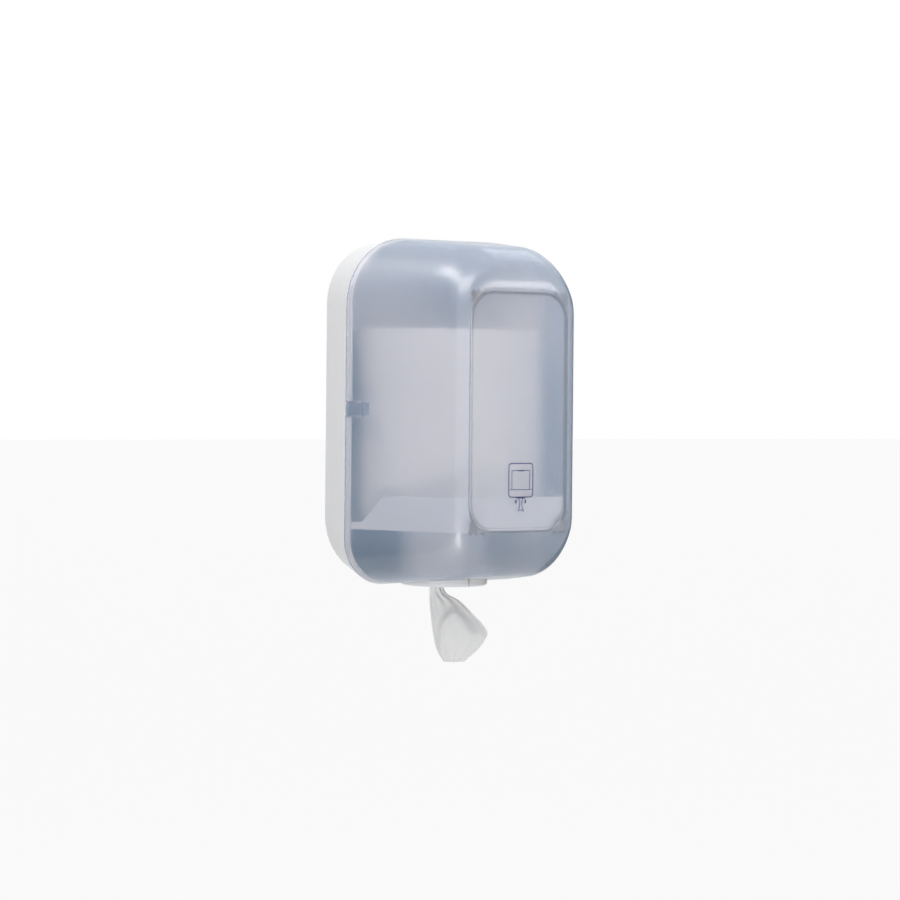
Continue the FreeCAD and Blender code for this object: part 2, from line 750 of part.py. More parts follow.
def make_latch_slider():
    body = new_body("latch_slider")
    arm_out = "Sizes.catch_arm_x"
    arm_in = "Sizes.catch_arm_x - Sizes.catch_thick"
    tail = "Sizes.rim_depth - Sizes.catch_tail"
    nose_out = "Sizes.catch_arm_x + Sizes.catch_nose_grip"
    tip = "Sizes.rim_depth + Sizes.catch_reach"
    profile = flat_sketch(body, "ArmProfile", "XY_Plane", "Sizes.catch_rise")
    catch_polygon(
        profile,
        [
            (arm_out, tail),
            (arm_out, "Sizes.tab_depth"),
            ("Sizes.rim_half_width - Sizes.catch_tab_recess", "Sizes.tab_depth"),
            ("Sizes.rim_half_width - Sizes.catch_tab_recess", "Sizes.tab_depth + Sizes.catch_tab_thick"),
            (arm_out, "Sizes.tab_depth + Sizes.catch_tab_thick"),
            (arm_out, "Sizes.nose_depth"),
            (nose_out, "Sizes.nose_depth"),
            (f"{arm_out} + Sizes.catch_nose_slope", tip),
            (arm_in, tip),
            (arm_in, f"{tail} + Sizes.catch_block_depth"),
            (f"{arm_in} - Sizes.catch_block_length", f"{tail} + Sizes.catch_block_depth"),
            (f"{arm_in} - Sizes.catch_block_length", tail),
        ],
    )
    pad(body, "Arm", profile, "Sizes.catch_height", both_ways=True)
    # bore that the spring sits in
    bore = flat_sketch(
        body, "SpringBore", "YZ_Plane", f"-({arm_in} - Sizes.catch_block_length)"
    )
    add_circle(
        bore,
        "-Sizes.catch_mid_depth",
        "Sizes.catch_rise",
        "Sizes.spring_radius + Sizes.spring_wire / 2 + Sizes.catch_gap",
    )
    pocket(body, "SpringBoreCut", bore, "Sizes.catch_block_length - Sizes.bore_floor")
    return body


def make_latch_housing():
    """A box with one open side that the block of the catch slides in, between two screw ears."""
    body = new_body("latch_housing")
    gap = "Sizes.catch_gap"
    wall = "Sizes.housing_wall"
    half_depth = f"(Sizes.catch_block_depth / 2 + {gap} + {wall})"
    half_height = f"(Sizes.catch_height / 2 + {gap} + {wall})"
    mouth = "-Sizes.housing_mouth"
    middle = "-Sizes.catch_mid_depth"
    length = f"Sizes.housing_mouth - Sizes.housing_end + {wall}"
    outside = flat_sketch(body, "HousingOutline", "YZ_Plane", mouth)
    z = "Sizes.catch_rise"
    add_polygon(outside, box_corners(middle, z, half_depth, half_height))
    pad(body, "Housing", outside, length)
    ears = flat_sketch(body, "EarOutline", "YZ_Plane", mouth)
    ear_half = f"(Sizes.catch_height / 2 + Sizes.housing_ear)"
    add_polygon(ears, box_corners(middle, z, "Sizes.ear_half_width", ear_half))
    pad(body, "Ears", ears, wall)
    hollow = flat_sketch(body, "HousingHollow", "YZ_Plane", mouth)
    inner_depth = f"(Sizes.catch_block_depth / 2 + {gap})"
    inner_height = f"(Sizes.catch_height / 2 + {gap})"
    add_polygon(hollow, box_corners(middle, z, inner_depth, inner_height))
    pocket(
        body, "HousingCut", hollow, "Sizes.housing_mouth - Sizes.housing_end", back=True
    )
    # the arm enters the front wall as far as the catch travels
    notch = flat_sketch(body, "ArmNotch", "YZ_Plane", mouth)
    front = f"(Sizes.catch_mid_depth + {half_depth} / 2)"
    reach = f"{half_depth} / 2 + Sizes.cut_margin"
    add_polygon(notch, box_corners(f"-{front}", z, reach, inner_height))
    pocket(body, "ArmNotchCut", notch, f"Sizes.catch_travel + {gap}", back=True)
    holes = flat_sketch(body, "EarHoles", "YZ_Plane", mouth)
    for level in (1, -1):
        add_circle(holes, middle, catch_screw_z(level), CATCH_SCREW_HOLE)
    pocket(body, "EarCuts", holes, wall, back=True)
    post = flat_sketch(body, "SpringPost", "YZ_Plane", "-Sizes.housing_end")
    add_circle(post, middle, z, f"Sizes.spring_radius - Sizes.spring_wire / 2 - {gap}")
    pad(body, "Post", post, "Sizes.housing_post", back=True)
    return body


def catch_screw_z(level):
    return f"Sizes.catch_rise + {level} * Sizes.catch_screw_rise"


def box_corners(x, y, half_width, half_height):
    return [
        (f"({x}) {across} ({half_width})", f"({y}) {along} ({half_height})")
        for across, along in (("-", "-"), ("+", "-"), ("+", "+"), ("-", "+"))
    ]


def make_latch_screws():
    """Two pan-head screws, as a group."""
    screws = []
    for name, level in (("Upper", 1), ("Lower", -1)):
        body = doc.addObject("Part::Cylinder", f"CatchScrewShank{name}")
        body.setExpression("Radius", "Sizes.catch_screw_radius")
        body.setExpression("Height", "Sizes.catch_screw_length")
        head = doc.addObject("Part::Cylinder", f"CatchScrewHead{name}")
        head.setExpression("Radius", "Sizes.catch_screw_head")
        head.setExpression("Height", "Sizes.catch_screw_radius")
        for item, start in (
            (body, "-(Sizes.housing_mouth - Sizes.housing_wall) - Sizes.catch_screw_length"),
            (head, "-(Sizes.housing_mouth - Sizes.housing_wall)"),
        ):
            item.Placement = FreeCAD.Placement(
                FreeCAD.Vector(), FreeCAD.Rotation(FreeCAD.Vector(0, 1, 0), 90)
            )
            item.setExpression("Placement.Base.x", start)
            item.setExpression("Placement.Base.y", "-Sizes.catch_mid_depth")
            item.setExpression("Placement.Base.z", catch_screw_z(level))
        screw = doc.addObject("Part::Fuse", f"CatchScrew{name}")
        screw.Base = body
        screw.Tool = head
        screws.append(screw)
    group = doc.addObject("Part::Compound", "latch_screws")
    group.Label = "latch_screws"
    group.Links = screws
    return group


def arc_from(start, heading, end):
    """The arc that leaves a point in a given direction and ends at another point."""
    chord = end - start
    middle = heading + chord / chord.Length
    half_turn = heading.getAngle(chord) / 2
    through = start + middle / middle.Length * chord.Length / (2 * math.cos(half_turn))
    return Part.Arc(start, through, end).toShape()


def coil_path(radius, pitch, turns):
    """A helix about Z as pairs of arcs, one pair for each quarter turn."""
    points = []
    headings = []
    for quarter in range(round(turns * 4) + 1):
        turn = quarter * math.pi / 2
        points.append(
            FreeCAD.Vector(radius * math.cos(turn), radius * math.sin(turn), pitch * quarter / 4)
        )
        heading = FreeCAD.Vector(
            -radius * math.sin(turn), radius * math.cos(turn), pitch / (2 * math.pi)
        )
        headings.append(heading.normalize())
    arcs = []
    for start, end, go, arrive in zip(points, points[1:], headings, headings[1:]):
        chord = end - start
        spread = 2 * (1 - go.dot(arrive))
        along = chord.dot(go + arrive)
        reach = (math.sqrt(along**2 + spread * chord.dot(chord)) - along) / spread
        knee = (start + end + (go - arrive) * reach) / 2
        arcs.append(arc_from(start, go, knee))
        arcs.append(arc_from(end, arrive * -1, knee))
    return Part.Wire(Part.__sortEdges__(arcs))


def make_latch_spring():
    """The coil as it is when the catch is pressed, from the housing into the block's bore."""
    radius = value("Sizes.spring_radius")
    wire = value("Sizes.spring_wire / 2")
    pitch = value("Sizes.spring_pitch")
    path = coil_path(radius, pitch, value("Sizes.spring_turns"))
    start = FreeCAD.Vector(radius, 0, 0)
    heading = FreeCAD.Vector(0, radius, pitch / (2 * math.pi))
    across = FreeCAD.Rotation(FreeCAD.Vector(0, 0, 1), heading)
    corners = []
    for sixth in range(7):
        turn = sixth * math.pi / 3
        corner = FreeCAD.Vector(wire * math.cos(turn), wire * math.sin(turn), 0)
        corners.append(start + across.multVec(corner))
    section = Part.makePolygon(corners)
    spring = doc.addObject("Part::Feature", "latch_spring")
    spring.Label = "latch_spring"
    spring.Shape = path.makePipeShell([section], True, False)
    spring.Placement = FreeCAD.Placement(
        FreeCAD.Vector(), FreeCAD.Rotation(FreeCAD.Vector(0, 1, 0), -90)
    )
    spring.setExpression("Placement.Base.x", "-Sizes.housing_end - Sizes.spring_wire / 2")
    spring.setExpression("Placement.Base.y", "-Sizes.catch_mid_depth")
    spring.setExpression("Placement.Base.z", "Sizes.catch_rise")
    gap = value("Sizes.spring_pitch - Sizes.spring_wire")
    print(f"latch_spring: least gap between turns {gap:.2f} mm")
    return spring


# Tray that carries the roll


def tray_corners(inset, back_inset):
    """Plan of the tray: as wide as the tub behind, and parallel to the cover's sides in front."""
    back = "(Sizes.base_wall + Sizes.rib_height + Sizes.tray_back_gap)"
    join = "(Sizes.rim_depth - Sizes.tray_join)"
    front = "Sizes.tray_front_depth"
    margin = "(Sizes.base_wall * Sizes.base_stretch + Sizes.tray_gap)"
    back_half = f"(Sizes.back_half_width + Sizes.base_lean * {back} - {margin})"
    join_half = f"(Sizes.back_half_width + Sizes.base_lean * {join} - {margin})"
    front_half = "(Sizes.tray_rim_half - Sizes.side_lean * (Sizes.tray_front_depth - Sizes.rim_depth))"
    half = [
        (f"{back_half} - {inset}", f"{back} + {back_inset}"),
        (f"{join_half} - {inset}", join),
        (f"Sizes.tray_rim_half - {inset}", "Sizes.rim_depth"),
        (f"{front_half} - {inset}", f"{front} - {inset}"),
    ]
    right = [(x, f"-({depth})") for x, depth in half]
    left = [(f"-({x})", f"-({depth})") for x, depth in reversed(half)]
    return right + left


def make_roll_tray():
    body = new_body("roll_tray")
    floor_low = "Sizes.tray_floor_z - Sizes.tray_wall"
    outline = flat_sketch(body, "TrayOutline", "XY_Plane", floor_low)
    add_polygon(outline, tray_corners("0", "0"))
    pad(body, "TrayBlock", outline, "Sizes.tray_wall + Sizes.tray_lip_height")
    hollow = flat_sketch(body, "TrayHollow", "XY_Plane", "Sizes.tray_floor_z")
    add_polygon(hollow, tray_corners("Sizes.tray_wall", "-Sizes.cut_margin"))
    hollow_height = "Sizes.tray_lip_height + Sizes.cut_margin"
    item = pocket(body, "TrayHollowCut", hollow, hollow_height, back=True)
    # the inner corners are rounded first: sharp, they would reach through the rounded outer ones
    for name, inset in (("Inner", "Sizes.tray_wall"), ("Outer", "0")):
        doc.recompute()
        edges = front_corner_edges(item, f"Sizes.tray_front_depth - {inset}")
        corner = body.newObject("PartDesign::Fillet", f"Tray{name}Corners")
        corner.Base = (item, edges)
        corner.setExpression("Radius", f"Sizes.tray_corner - {inset}")
        item = corner
    doc.recompute()

    # the lip is high in front and low along the sides, with none at the back
    side = flat_sketch(body, "LipSide", "YZ_Plane", "0")
    low = "Sizes.tray_floor_z + Sizes.tray_low_lip"
    high = "Sizes.tray_floor_z + Sizes.tray_lip_height + Sizes.cut_margin"
    start = "-(Sizes.rim_depth + Sizes.tray_lip_start)"
    full = "-(Sizes.rim_depth + Sizes.tray_lip_full)"
    behind = "Sizes.cut_margin"
    add_polygon(side, [(behind, low), (start, low), (full, high), (behind, high)])
    pocket(body, "LipCut", side, "Sizes.rim_half_width * 2", both_ways=True)

    # ribs that the roll stands on, and hole for the collar
    ribs = flat_sketch(body, "RollRibs", "XY_Plane", "Sizes.tray_floor_z")
    for side in (1, -1):
        for level in (1, -1):
            x = f"{side} * (Sizes.collar_radius + Sizes.collar_flange + Sizes.tray_rib_gap"
            x += " + Sizes.tray_rib_length / 2)"
            y = f"-Sizes.outlet_depth + {level} * Sizes.tray_rib_spacing / 2"
            add_polygon(
                ribs, box_corners(x, y, "Sizes.tray_rib_length / 2", "Sizes.tray_rib_width / 2")
            )
    pad(body, "RollRibPads", ribs, "Sizes.tray_rib_height")
    hole = flat_sketch(body, "CollarHole", "XY_Plane", floor_low)
    add_circle(
        hole, "0", "-Sizes.outlet_depth", "Sizes.collar_radius + Sizes.collar_fit"
    )
    floor_cut = "Sizes.tray_wall + Sizes.cut_margin"
    pocket(body, "CollarHoleCut", hole, floor_cut, back=True)
    bores = flat_sketch(body, "ScrewHoles", "XY_Plane", floor_low)
    for x, y in tray_screw_places():
        add_circle(bores, x, y, "Sizes.tray_screw_radius + Sizes.screw_play")
    pocket(body, "ScrewHoleCuts", bores, floor_cut, back=True)
    return body


def front_corner_edges(item, depth):
    """Upright edges of the two corners at the tray's front."""
    edges = []
    for number, edge in enumerate(item.Shape.Edges, 1):
        upright = abs(edge.BoundBox.ZLength - edge.Length) < 1e-6
        if upright and abs(edge.BoundBox.YMin + value(depth)) < 0.01:
            edges.append(f"Edge{number}")
    return edges


def make_tray_screws():
    """Four pan-head screws, as a group."""
    screws = []
    for number, (x, y) in enumerate(tray_screw_places(), 1):
        shank = doc.addObject("Part::Cylinder", f"TrayScrewShank{number}")
        shank.setExpression("Radius", "Sizes.tray_screw_radius")
        shank.setExpression("Height", "Sizes.tray_screw_length")
        shank.setExpression("Placement.Base.z", "Sizes.tray_floor_z - Sizes.tray_screw_length")
        head = doc.addObject("Part::Cylinder", f"TrayScrewHead{number}")
        head.setExpression("Radius", "Sizes.tray_screw_head")
        head.setExpression("Height", "Sizes.tray_screw_head_height")
        head.setExpression("Placement.Base.z", "Sizes.tray_floor_z")
        for item in (shank, head):
            item.setExpression("Placement.Base.x", x)
            item.setExpression("Placement.Base.y", y)
        screw = doc.addObject("Part::Fuse", f"TrayScrew{number}")
        screw.Base = shank
        screw.Tool = head
        screws.append(screw)
    group = doc.addObject("Part::Compound", "tray_screws")
    group.Label = "tray_screws"
    group.Links = screws
    return group


# Outlet


def outlet_sketch(body, name):
    """A sketch in the plane through the outlet's axis, its origin on that axis."""
    sketch = flat_sketch(body, name, "YZ_Plane", "0")
    sketch.setExpression("AttachmentOffset.Base.x", "-Sizes.outlet_depth")
    return sketch


def cut_thread_slot(body, low, high):
    """Slit from the outlet's axis to its front, which lets the ring spring in and the paper be threaded."""
    slot = flat_sketch(body, "ThreadSlot", "XY_Plane", f"{low} - Sizes.cut_margin")
    reach = "(Sizes.collar_radius + Sizes.collar_flange + Sizes.cut_margin) / 2"
    middle = f"-Sizes.outlet_depth - {reach}"
    add_polygon(slot, box_corners("0", middle, "Sizes.thread_slot / 2", reach))
    height = f"({high}) - ({low}) + 2 * Sizes.cut_margin"
    pocket(body, "ThreadSlotCut", slot, height, back=True)


def make_outlet_collar():
    body = new_body("outlet_collar")
    outer, inner = "Sizes.collar_radius", "Sizes.collar_radius - Sizes.collar_wall"
    flange = "Sizes.collar_radius + Sizes.collar_flange"
    top = "Sizes.tray_floor_z + Sizes.tray_rib_height"
    hook = "Sizes.collar_radius + Sizes.collar_hook"
    hook_top = "Sizes.tray_floor_z - Sizes.tray_wall - Sizes.nozzle_fit"
    profile = outlet_sketch(body, "CollarProfile")
    add_polygon(
        profile,
        [
            (f"{inner} - Sizes.nozzle_seat", "Sizes.collar_low_z"),
            (outer, "Sizes.collar_low_z"),
            (outer, f"{hook_top} - Sizes.hook_slope"),
            (hook, hook_top),
            (outer, hook_top),
            (outer, "Sizes.tray_floor_z"),
            (flange, "Sizes.tray_floor_z"),
            (flange, top),
            (inner, top),
            (inner, "Sizes.nozzle_low_z"),
            (f"{inner} - Sizes.nozzle_seat", "Sizes.nozzle_low_z"),
        ],
    )
    turned(body, "Collar", profile)
    cut_thread_slot(body, "Sizes.collar_low_z", top)
    return body


def make_nozzle():
    """A ring with a star-cut web, whose fingers drag on the paper so that it tears."""
    body = new_body("nozzle")
    outer = "Sizes.collar_radius - Sizes.collar_wall - Sizes.nozzle_fit"
    inner = f"{outer} - Sizes.nozzle_wall"
    low = "Sizes.nozzle_low_z"
    high = f"{low} + Sizes.nozzle_height"
    web = f"{high} - Sizes.nozzle_drop"
    profile = outlet_sketch(body, "NozzleProfile")
    add_polygon(
        profile,
        [
            (outer, low),
            (outer, high),
            (inner, high),
            (inner, web),
            ("Sizes.nozzle_throat", web),
            ("Sizes.nozzle_throat", f"{web} - Sizes.nozzle_wall"),
            (inner, f"{web} - Sizes.nozzle_wall"),
            (inner, low),
        ],
    )
    turned(body, "StarWeb", profile)
    cut_thread_slot(body, low, high)
    finger = flat_sketch(body, "FingerSlot", "XY_Plane", f"{low} - Sizes.cut_margin")
    finger.setExpression("AttachmentOffset.Base.y", "-Sizes.outlet_depth")
    middle = "(Sizes.nozzle_throat + Sizes.finger_reach) / 2"
    add_polygon(finger, box_corners("0", middle, "Sizes.finger_slot / 2", middle))
    slot = pocket(body, "FingerSlotCut", finger, "2 * Sizes.nozzle_height", back=True)
    doc.recompute()
    ring = body.newObject("PartDesign::PolarPattern", "FingerSlots")
    ring.Originals = [slot]
    ring.Axis = (finger, ["N_Axis"])
    ring.Angle = 360.0
    ring.setExpression("Occurrences", "Sizes.finger_count")
    body.Tip = ring
    return body


# Paper


def make_paper_roll():
    body = new_body("paper_roll")
    profile = outlet_sketch(body, "RollProfile")
    low, high = "Sizes.roll_low_z", "Sizes.roll_low_z + Sizes.roll_height"
    add_polygon(
        profile,
        [
            ("Sizes.roll_bore", low),
            ("Sizes.roll_radius", low),
            ("Sizes.roll_radius", high),
            ("Sizes.roll_bore", high),
        ],
    )
    turned(body, "Roll", profile)
    return body


def folded_section(body, name, z, left, right, fold):
    """A sheet seen end on, folded to and fro between two distances from the outlet's axis."""
    sketch = flat_sketch(body, name, "XY_Plane", z)
    sketch.setExpression("AttachmentOffset.Base.y", "-Sizes.outlet_depth")
    sketch.setExpression("AttachmentOffset.Rotation.Angle", "-Sizes.tail_turn")
    front = []
    back = []
    for i, side in enumerate((-1, 1, -1, 1)):
        x = f"({left}) + (({right}) - ({left})) * {i} / 3"
        y = f"({fold}) * {side} / 2"
        front.append((x, f"{y} - Sizes.tail_thick / 2"))
        back.append((x, f"{y} + Sizes.tail_thick / 2"))
    add_polygon(sketch, front + back[::-1])
    return sketch


def make_paper_tail():
    """The end that is drawn from the middle of the roll, down through the nozzle."""
    body = new_body("paper_tail")
    bunch = "(Sizes.nozzle_throat - Sizes.tail_thick - Sizes.paper_gap)"
    fold = "Sizes.tail_fold"
    exit_z = "Sizes.collar_low_z"
    in_bore = "(Sizes.roll_bore - Sizes.tail_thick - Sizes.paper_gap)"
    ease = "Sizes.tail_ease"
    end = "Sizes.tail_end_shift"
    sections = [
        ("Bore", "Sizes.strand_start_z", f"{in_bore} - 2 * {bunch}", in_bore, f"{fold} / 2"),
        ("Throat", exit_z, f"-{bunch}", bunch, f"{fold} / 2"),
        ("Torn", f"{exit_z} - Sizes.tail_length", end, f"{end} + Sizes.tail_end_width", fold),
    ]
    for name, left in (("Spread", f"-{bunch} - {ease}"), ("Wide", f"-{bunch} + {ease}"), ("Turn", "0")):
        place = f"Sizes.tail_{name.lower()}"
        drop = (name, f"{exit_z} - {place}_drop", left, f"{place}_reach", fold)
        sections.insert(-1, drop)
    sketches = [folded_section(body, name, *sizes) for name, *sizes in sections]
    loft(body, "Tail", "Additive", sketches)
    return body


# Build, check and export


def check(items):
    doc.recompute()
    for item in doc.Objects:
        if "Invalid" in item.State or "Error" in item.State:
            raise RuntimeError(f"{item.Name} failed: {item.State}")
    for item in items:
        if item.Shape.isNull() or not item.Shape.isValid() or not item.Shape.Solids:
            raise RuntimeError(f"{item.Label} has no valid solid")


def main():
    nodes = [
        make_base_shell(),
        make_front_cover(),
        make_hinge_pin("upper", 1),
        make_hinge_pin("lower", -1),
        make_latch_slider(),
        make_latch_housing(),
        make_latch_screws(),
        make_latch_spring(),
        make_roll_tray(),
        make_tray_screws(),
        make_outlet_collar(),
        make_nozzle(),
        make_paper_roll(),
        make_paper_tail(),
    ]
    check(nodes)
    for node in nodes:
        node.Shape.exportStep(f"parts/{node.Label}.step")
        box = node.Shape.BoundBox
        print(
            f"{node.Label}: {len(node.Shape.Solids)} solid(s), {node.Shape.Volume / 1000:.1f} cm3,"
            f" {box.XLength:.1f} x {box.YLength:.1f} x {box.ZLength:.1f} mm"
        )


main()
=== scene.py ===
import math

import bmesh
import bpy
from mathutils import Matrix, Vector, noise


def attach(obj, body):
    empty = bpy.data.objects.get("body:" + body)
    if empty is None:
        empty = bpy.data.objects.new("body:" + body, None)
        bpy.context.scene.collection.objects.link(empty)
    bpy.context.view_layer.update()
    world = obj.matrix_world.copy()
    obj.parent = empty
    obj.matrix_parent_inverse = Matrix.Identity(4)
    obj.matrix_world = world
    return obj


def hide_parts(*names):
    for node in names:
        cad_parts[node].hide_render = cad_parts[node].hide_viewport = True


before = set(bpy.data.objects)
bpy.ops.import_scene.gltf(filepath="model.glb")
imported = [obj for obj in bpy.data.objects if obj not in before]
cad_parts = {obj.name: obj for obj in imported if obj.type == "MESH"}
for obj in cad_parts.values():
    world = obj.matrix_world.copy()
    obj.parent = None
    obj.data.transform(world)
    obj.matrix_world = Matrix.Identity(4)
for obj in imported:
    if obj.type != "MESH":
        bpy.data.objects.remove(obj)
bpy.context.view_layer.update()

mm = 0.001


# The photograph's view: the dispenser hangs at eye level and is seen from a third to its left.
# The camera stands almost three metres off with a long lens, turned by half a degree.


def add_object(name, data):
    """An object with this data, linked into the scene."""
    added = bpy.data.objects.new(name, data)
    bpy.context.scene.collection.objects.link(added)
    return added


view_azimuth = math.radians(-34.24)
view_elevation = math.radians(0.23)
view_roll = math.radians(0.527)
view_distance = 2.862
towards_camera = Vector(
    (
        math.sin(view_azimuth) * math.cos(view_elevation),
        -math.cos(view_azimuth) * math.cos(view_elevation),
        math.sin(view_elevation),
    )
)
camera_data = bpy.data.cameras.new("camera")
camera_data.sensor_width = 36.0
camera_data.lens = 109.24
camera_data.shift_x = 0.0679
camera_data.shift_y = -0.0443
camera = add_object("camera", camera_data)
camera.location = towards_camera * view_distance
aim = (-towards_camera).to_track_quat("-Z", "Y")
camera.rotation_euler = (aim.to_matrix() @ Matrix.Rotation(view_roll, 3, "Z")).to_euler()
bpy.context.scene.camera = camera
bpy.context.scene.view_settings.view_transform = "Standard"


# The studio: a plain pale floor far below the dispenser, white all round, and soft light.
# A large panel over the camera lights the roll; small ones light the crown, the tub and the paper.
# Dark flags on both sides, unseen by the camera, keep the cover's walls deep in tone.

floor_drop = 1.1
floor_half = 60.0


def new_material(name):
    """A node material, with its node tree and its principled shader."""
    made = bpy.data.materials.new(name)
    made.use_nodes = True
    tree = made.node_tree
    shader = tree.nodes.get("Principled BSDF")
    return made, tree, shader


def sees_background(tree):
    """1 for camera, mirror and see-through rays, which should meet a white background."""
    path = tree.nodes.new("ShaderNodeLightPath")
    either = tree.nodes.new("ShaderNodeMath")
    either.operation = "MAXIMUM"
    tree.links.new(path.outputs["Is Camera Ray"], either.inputs[0])
    tree.links.new(path.outputs["Is Glossy Ray"], either.inputs[1])
    any_ray = tree.nodes.new("ShaderNodeMath")
    any_ray.operation = "MAXIMUM"
    tree.links.new(either.outputs[0], any_ray.inputs[0])
    tree.links.new(path.outputs["Is Transmission Ray"], any_ray.inputs[1])
    return any_ray.outputs[0]


world = bpy.data.worlds.new("studio")
bpy.context.scene.world = world
world.use_nodes = True
tree = world.node_tree
lamp_white = tree.nodes["Background"]
lamp_white.inputs["Color"].default_value = (0.96, 0.98, 1.0, 1.0)
lamp_white.inputs["Strength"].default_value = 0.3
seen_white = tree.nodes.new("ShaderNodeBackground")
seen_white.inputs["Color"].default_value = (1.0, 1.0, 1.0, 1.0)
seen_white.inputs["Strength"].default_value = 1.0
mix = tree.nodes.new("ShaderNodeMixShader")
tree.links.new(sees_background(tree), mix.inputs["Fac"])
tree.links.new(lamp_white.outputs[0], mix.inputs[1])
tree.links.new(seen_white.outputs[0], mix.inputs[2])
tree.links.new(mix.outputs[0], tree.nodes["World Output"].inputs["Surface"])

floor_mesh = bpy.data.meshes.new("studio_floor")
floor_mesh.from_pydata(
    [
        (-floor_half, -floor_half, -floor_drop),
        (floor_half, -floor_half, -floor_drop),
        (floor_half, floor_half, -floor_drop),
        (-floor_half, floor_half, -floor_drop),
    ],
    [],
    [(0, 1, 2, 3)],
)
studio_floor = add_object("studio_floor", floor_mesh)
floor_paint, tree, shader = new_material("pale_floor")
shader.inputs["Base Color"].default_value = (0.9, 0.9, 0.9, 1.0)
shader.inputs["Roughness"].default_value = 0.9
glow = tree.nodes.new("ShaderNodeEmission")
glow.inputs["Strength"].default_value = 1.06
mix = tree.nodes.new("ShaderNodeMixShader")
share = tree.nodes.new("ShaderNodeMath")
share.operation = "MULTIPLY"
share.inputs[1].default_value = 0.85
tree.links.new(sees_background(tree), share.inputs[0])
tree.links.new(share.outputs[0], mix.inputs["Fac"])
tree.links.new(shader.outputs[0], mix.inputs[1])
tree.links.new(glow.outputs[0], mix.inputs[2])
tree.links.new(mix.outputs[0], tree.nodes["Material Output"].inputs["Surface"])
floor_mesh.materials.append(floor_paint)

middle = Vector((0, -0.1, 0))
# degrees round from the front, degrees up, metres off, width, height and watts
for name, turn, rise, far, width, height, power in (
    ("softbox_top", -38.0, 48.0, 1.2, 1.0, 0.5, 8.8),
    ("softbox_left", -90.0, 57.0, 1.6, 0.5, 0.4, 5.5),
    ("softbox_low", -45.0, -40.0, 1.2, 0.5, 0.4, 4.0),
    ("strip_right", 33.0, 17.0, 1.2, 0.45, 0.3, 3.0),
    ("softbox_over", 105.0, 50.0, 2.2, 1.2, 0.6, 3.0),
    ("softbox_back", -142.0, 12.0, 2.2, 1.0, 1.2, 6.0),
):
    lamp = bpy.data.lights.new(name, "AREA")
    lamp.shape = "RECTANGLE"
    lamp.size = width
    lamp.size_y = height
    lamp.energy = power
    lamp_object = add_object(name, lamp)
    turn, rise = math.radians(turn), math.radians(rise)
    away = Vector(
        (math.sin(turn) * math.cos(rise), -math.cos(turn) * math.cos(rise), math.sin(rise))
    )
    lamp_object.location = middle + away * far
    lamp_object.rotation_euler = (-away).to_track_quat("-Z", "Y").to_euler()

flag_paint, tree, shader = new_material("dark_flag")
shader.inputs["Base Color"].default_value = (0.05, 0.055, 0.065, 1.0)
shader.inputs["Roughness"].default_value = 0.9
# metres to the right, from front to back, and from low to high
for name, x, front, back, low, high in (
    ("flag_right", 1.0, -0.1, 0.6, -0.95, 0.5),
    ("flag_left", -1.0, -0.35, 0.9, -0.95, 0.72),
):
    flag_mesh = bpy.data.meshes.new(name)
    flag_mesh.from_pydata(
        [(x, front, low), (x, back, low), (x, back, high), (x, front, high)], [], [(0, 1, 2, 3)]
    )
    flag_mesh.materials.append(flag_paint)
    flag = add_object(name, flag_mesh)
    flag.visible_camera = False
    flag.visible_diffuse = False
    flag.visible_shadow = False


# The tub that is screwed to the wall: injection-moulded white ABS with a fine satin texture.
# Its lip stands inside the cover, and everything else is fixed in it.


def coordinates(tree, scale):
    """Places on the piece in metres, times a scale, the same in every pose."""
    where = tree.nodes.new("ShaderNodeTexCoord")
    stretch = tree.nodes.new("ShaderNodeMapping")
    stretch.inputs["Scale"].default_value = scale
    tree.links.new(where.outputs["Object"], stretch.inputs["Vector"])
    return stretch.outputs["Vector"]


def noise_of(tree, scale, detail, size=(1.0, 1.0, 1.0)):
    cloud = tree.nodes.new("ShaderNodeTexNoise")
    cloud.inputs["Scale"].default_value = scale
    cloud.inputs["Detail"].default_value = detail
    tree.links.new(coordinates(tree, size), cloud.inputs["Vector"])
    return cloud.outputs["Fac"]


def ramp(tree, source, low, high):
    """The source's 0 to 1 turned into a colour or a number between two others."""
    if isinstance(low, tuple):
        blend = tree.nodes.new("ShaderNodeMix")
        blend.data_type = "RGBA"
        blend.inputs["A"].default_value = (*low, 1.0)
        blend.inputs["B"].default_value = (*high, 1.0)
        tree.links.new(source, blend.inputs["Factor"])
        return blend.outputs["Result"]
    spread = tree.nodes.new("ShaderNodeMapRange")
    spread.inputs["To Min"].default_value = low
    spread.inputs["To Max"].default_value = high
    tree.links.new(source, spread.inputs["Value"])
    return spread.outputs["Result"]


def bumps(tree, shader, source, depth, distance):
    bump = tree.nodes.new("ShaderNodeBump")
    bump.inputs["Strength"].default_value = depth
    bump.inputs["Distance"].default_value = distance
    tree.links.new(source, bump.inputs["Height"])
    tree.links.new(bump.outputs["Normal"], shader.inputs["Normal"])


def moulded_plastic(name, low, high, roughness):
    """Moulded plastic: a faint cloud in its colour, and a fine even texture from the mould."""
    made, tree, shader = new_material(name)
    cloud = noise_of(tree, 9.0, 3.0)
    tree.links.new(ramp(tree, cloud, low, high), shader.inputs["Base Color"])
    wear = noise_of(tree, 60.0, 4.0)
    tree.links.new(
        ramp(tree, wear, roughness - 0.05, roughness + 0.05), shader.inputs["Roughness"]
    )
    bumps(tree, shader, noise_of(tree, 2600.0, 2.0), 0.12, 0.0001)
    shader.inputs["IOR"].default_value = 1.5
    return made


def dress(node, finish):
    """Gives a CAD node's every slot one material."""
    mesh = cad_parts[node].data
    mesh.materials.clear()
    mesh.materials.append(finish)


tub_white = moulded_plastic("tub_white", (0.80, 0.80, 0.81), (0.84, 0.84, 0.85), 0.38)
dress("base_shell", tub_white)


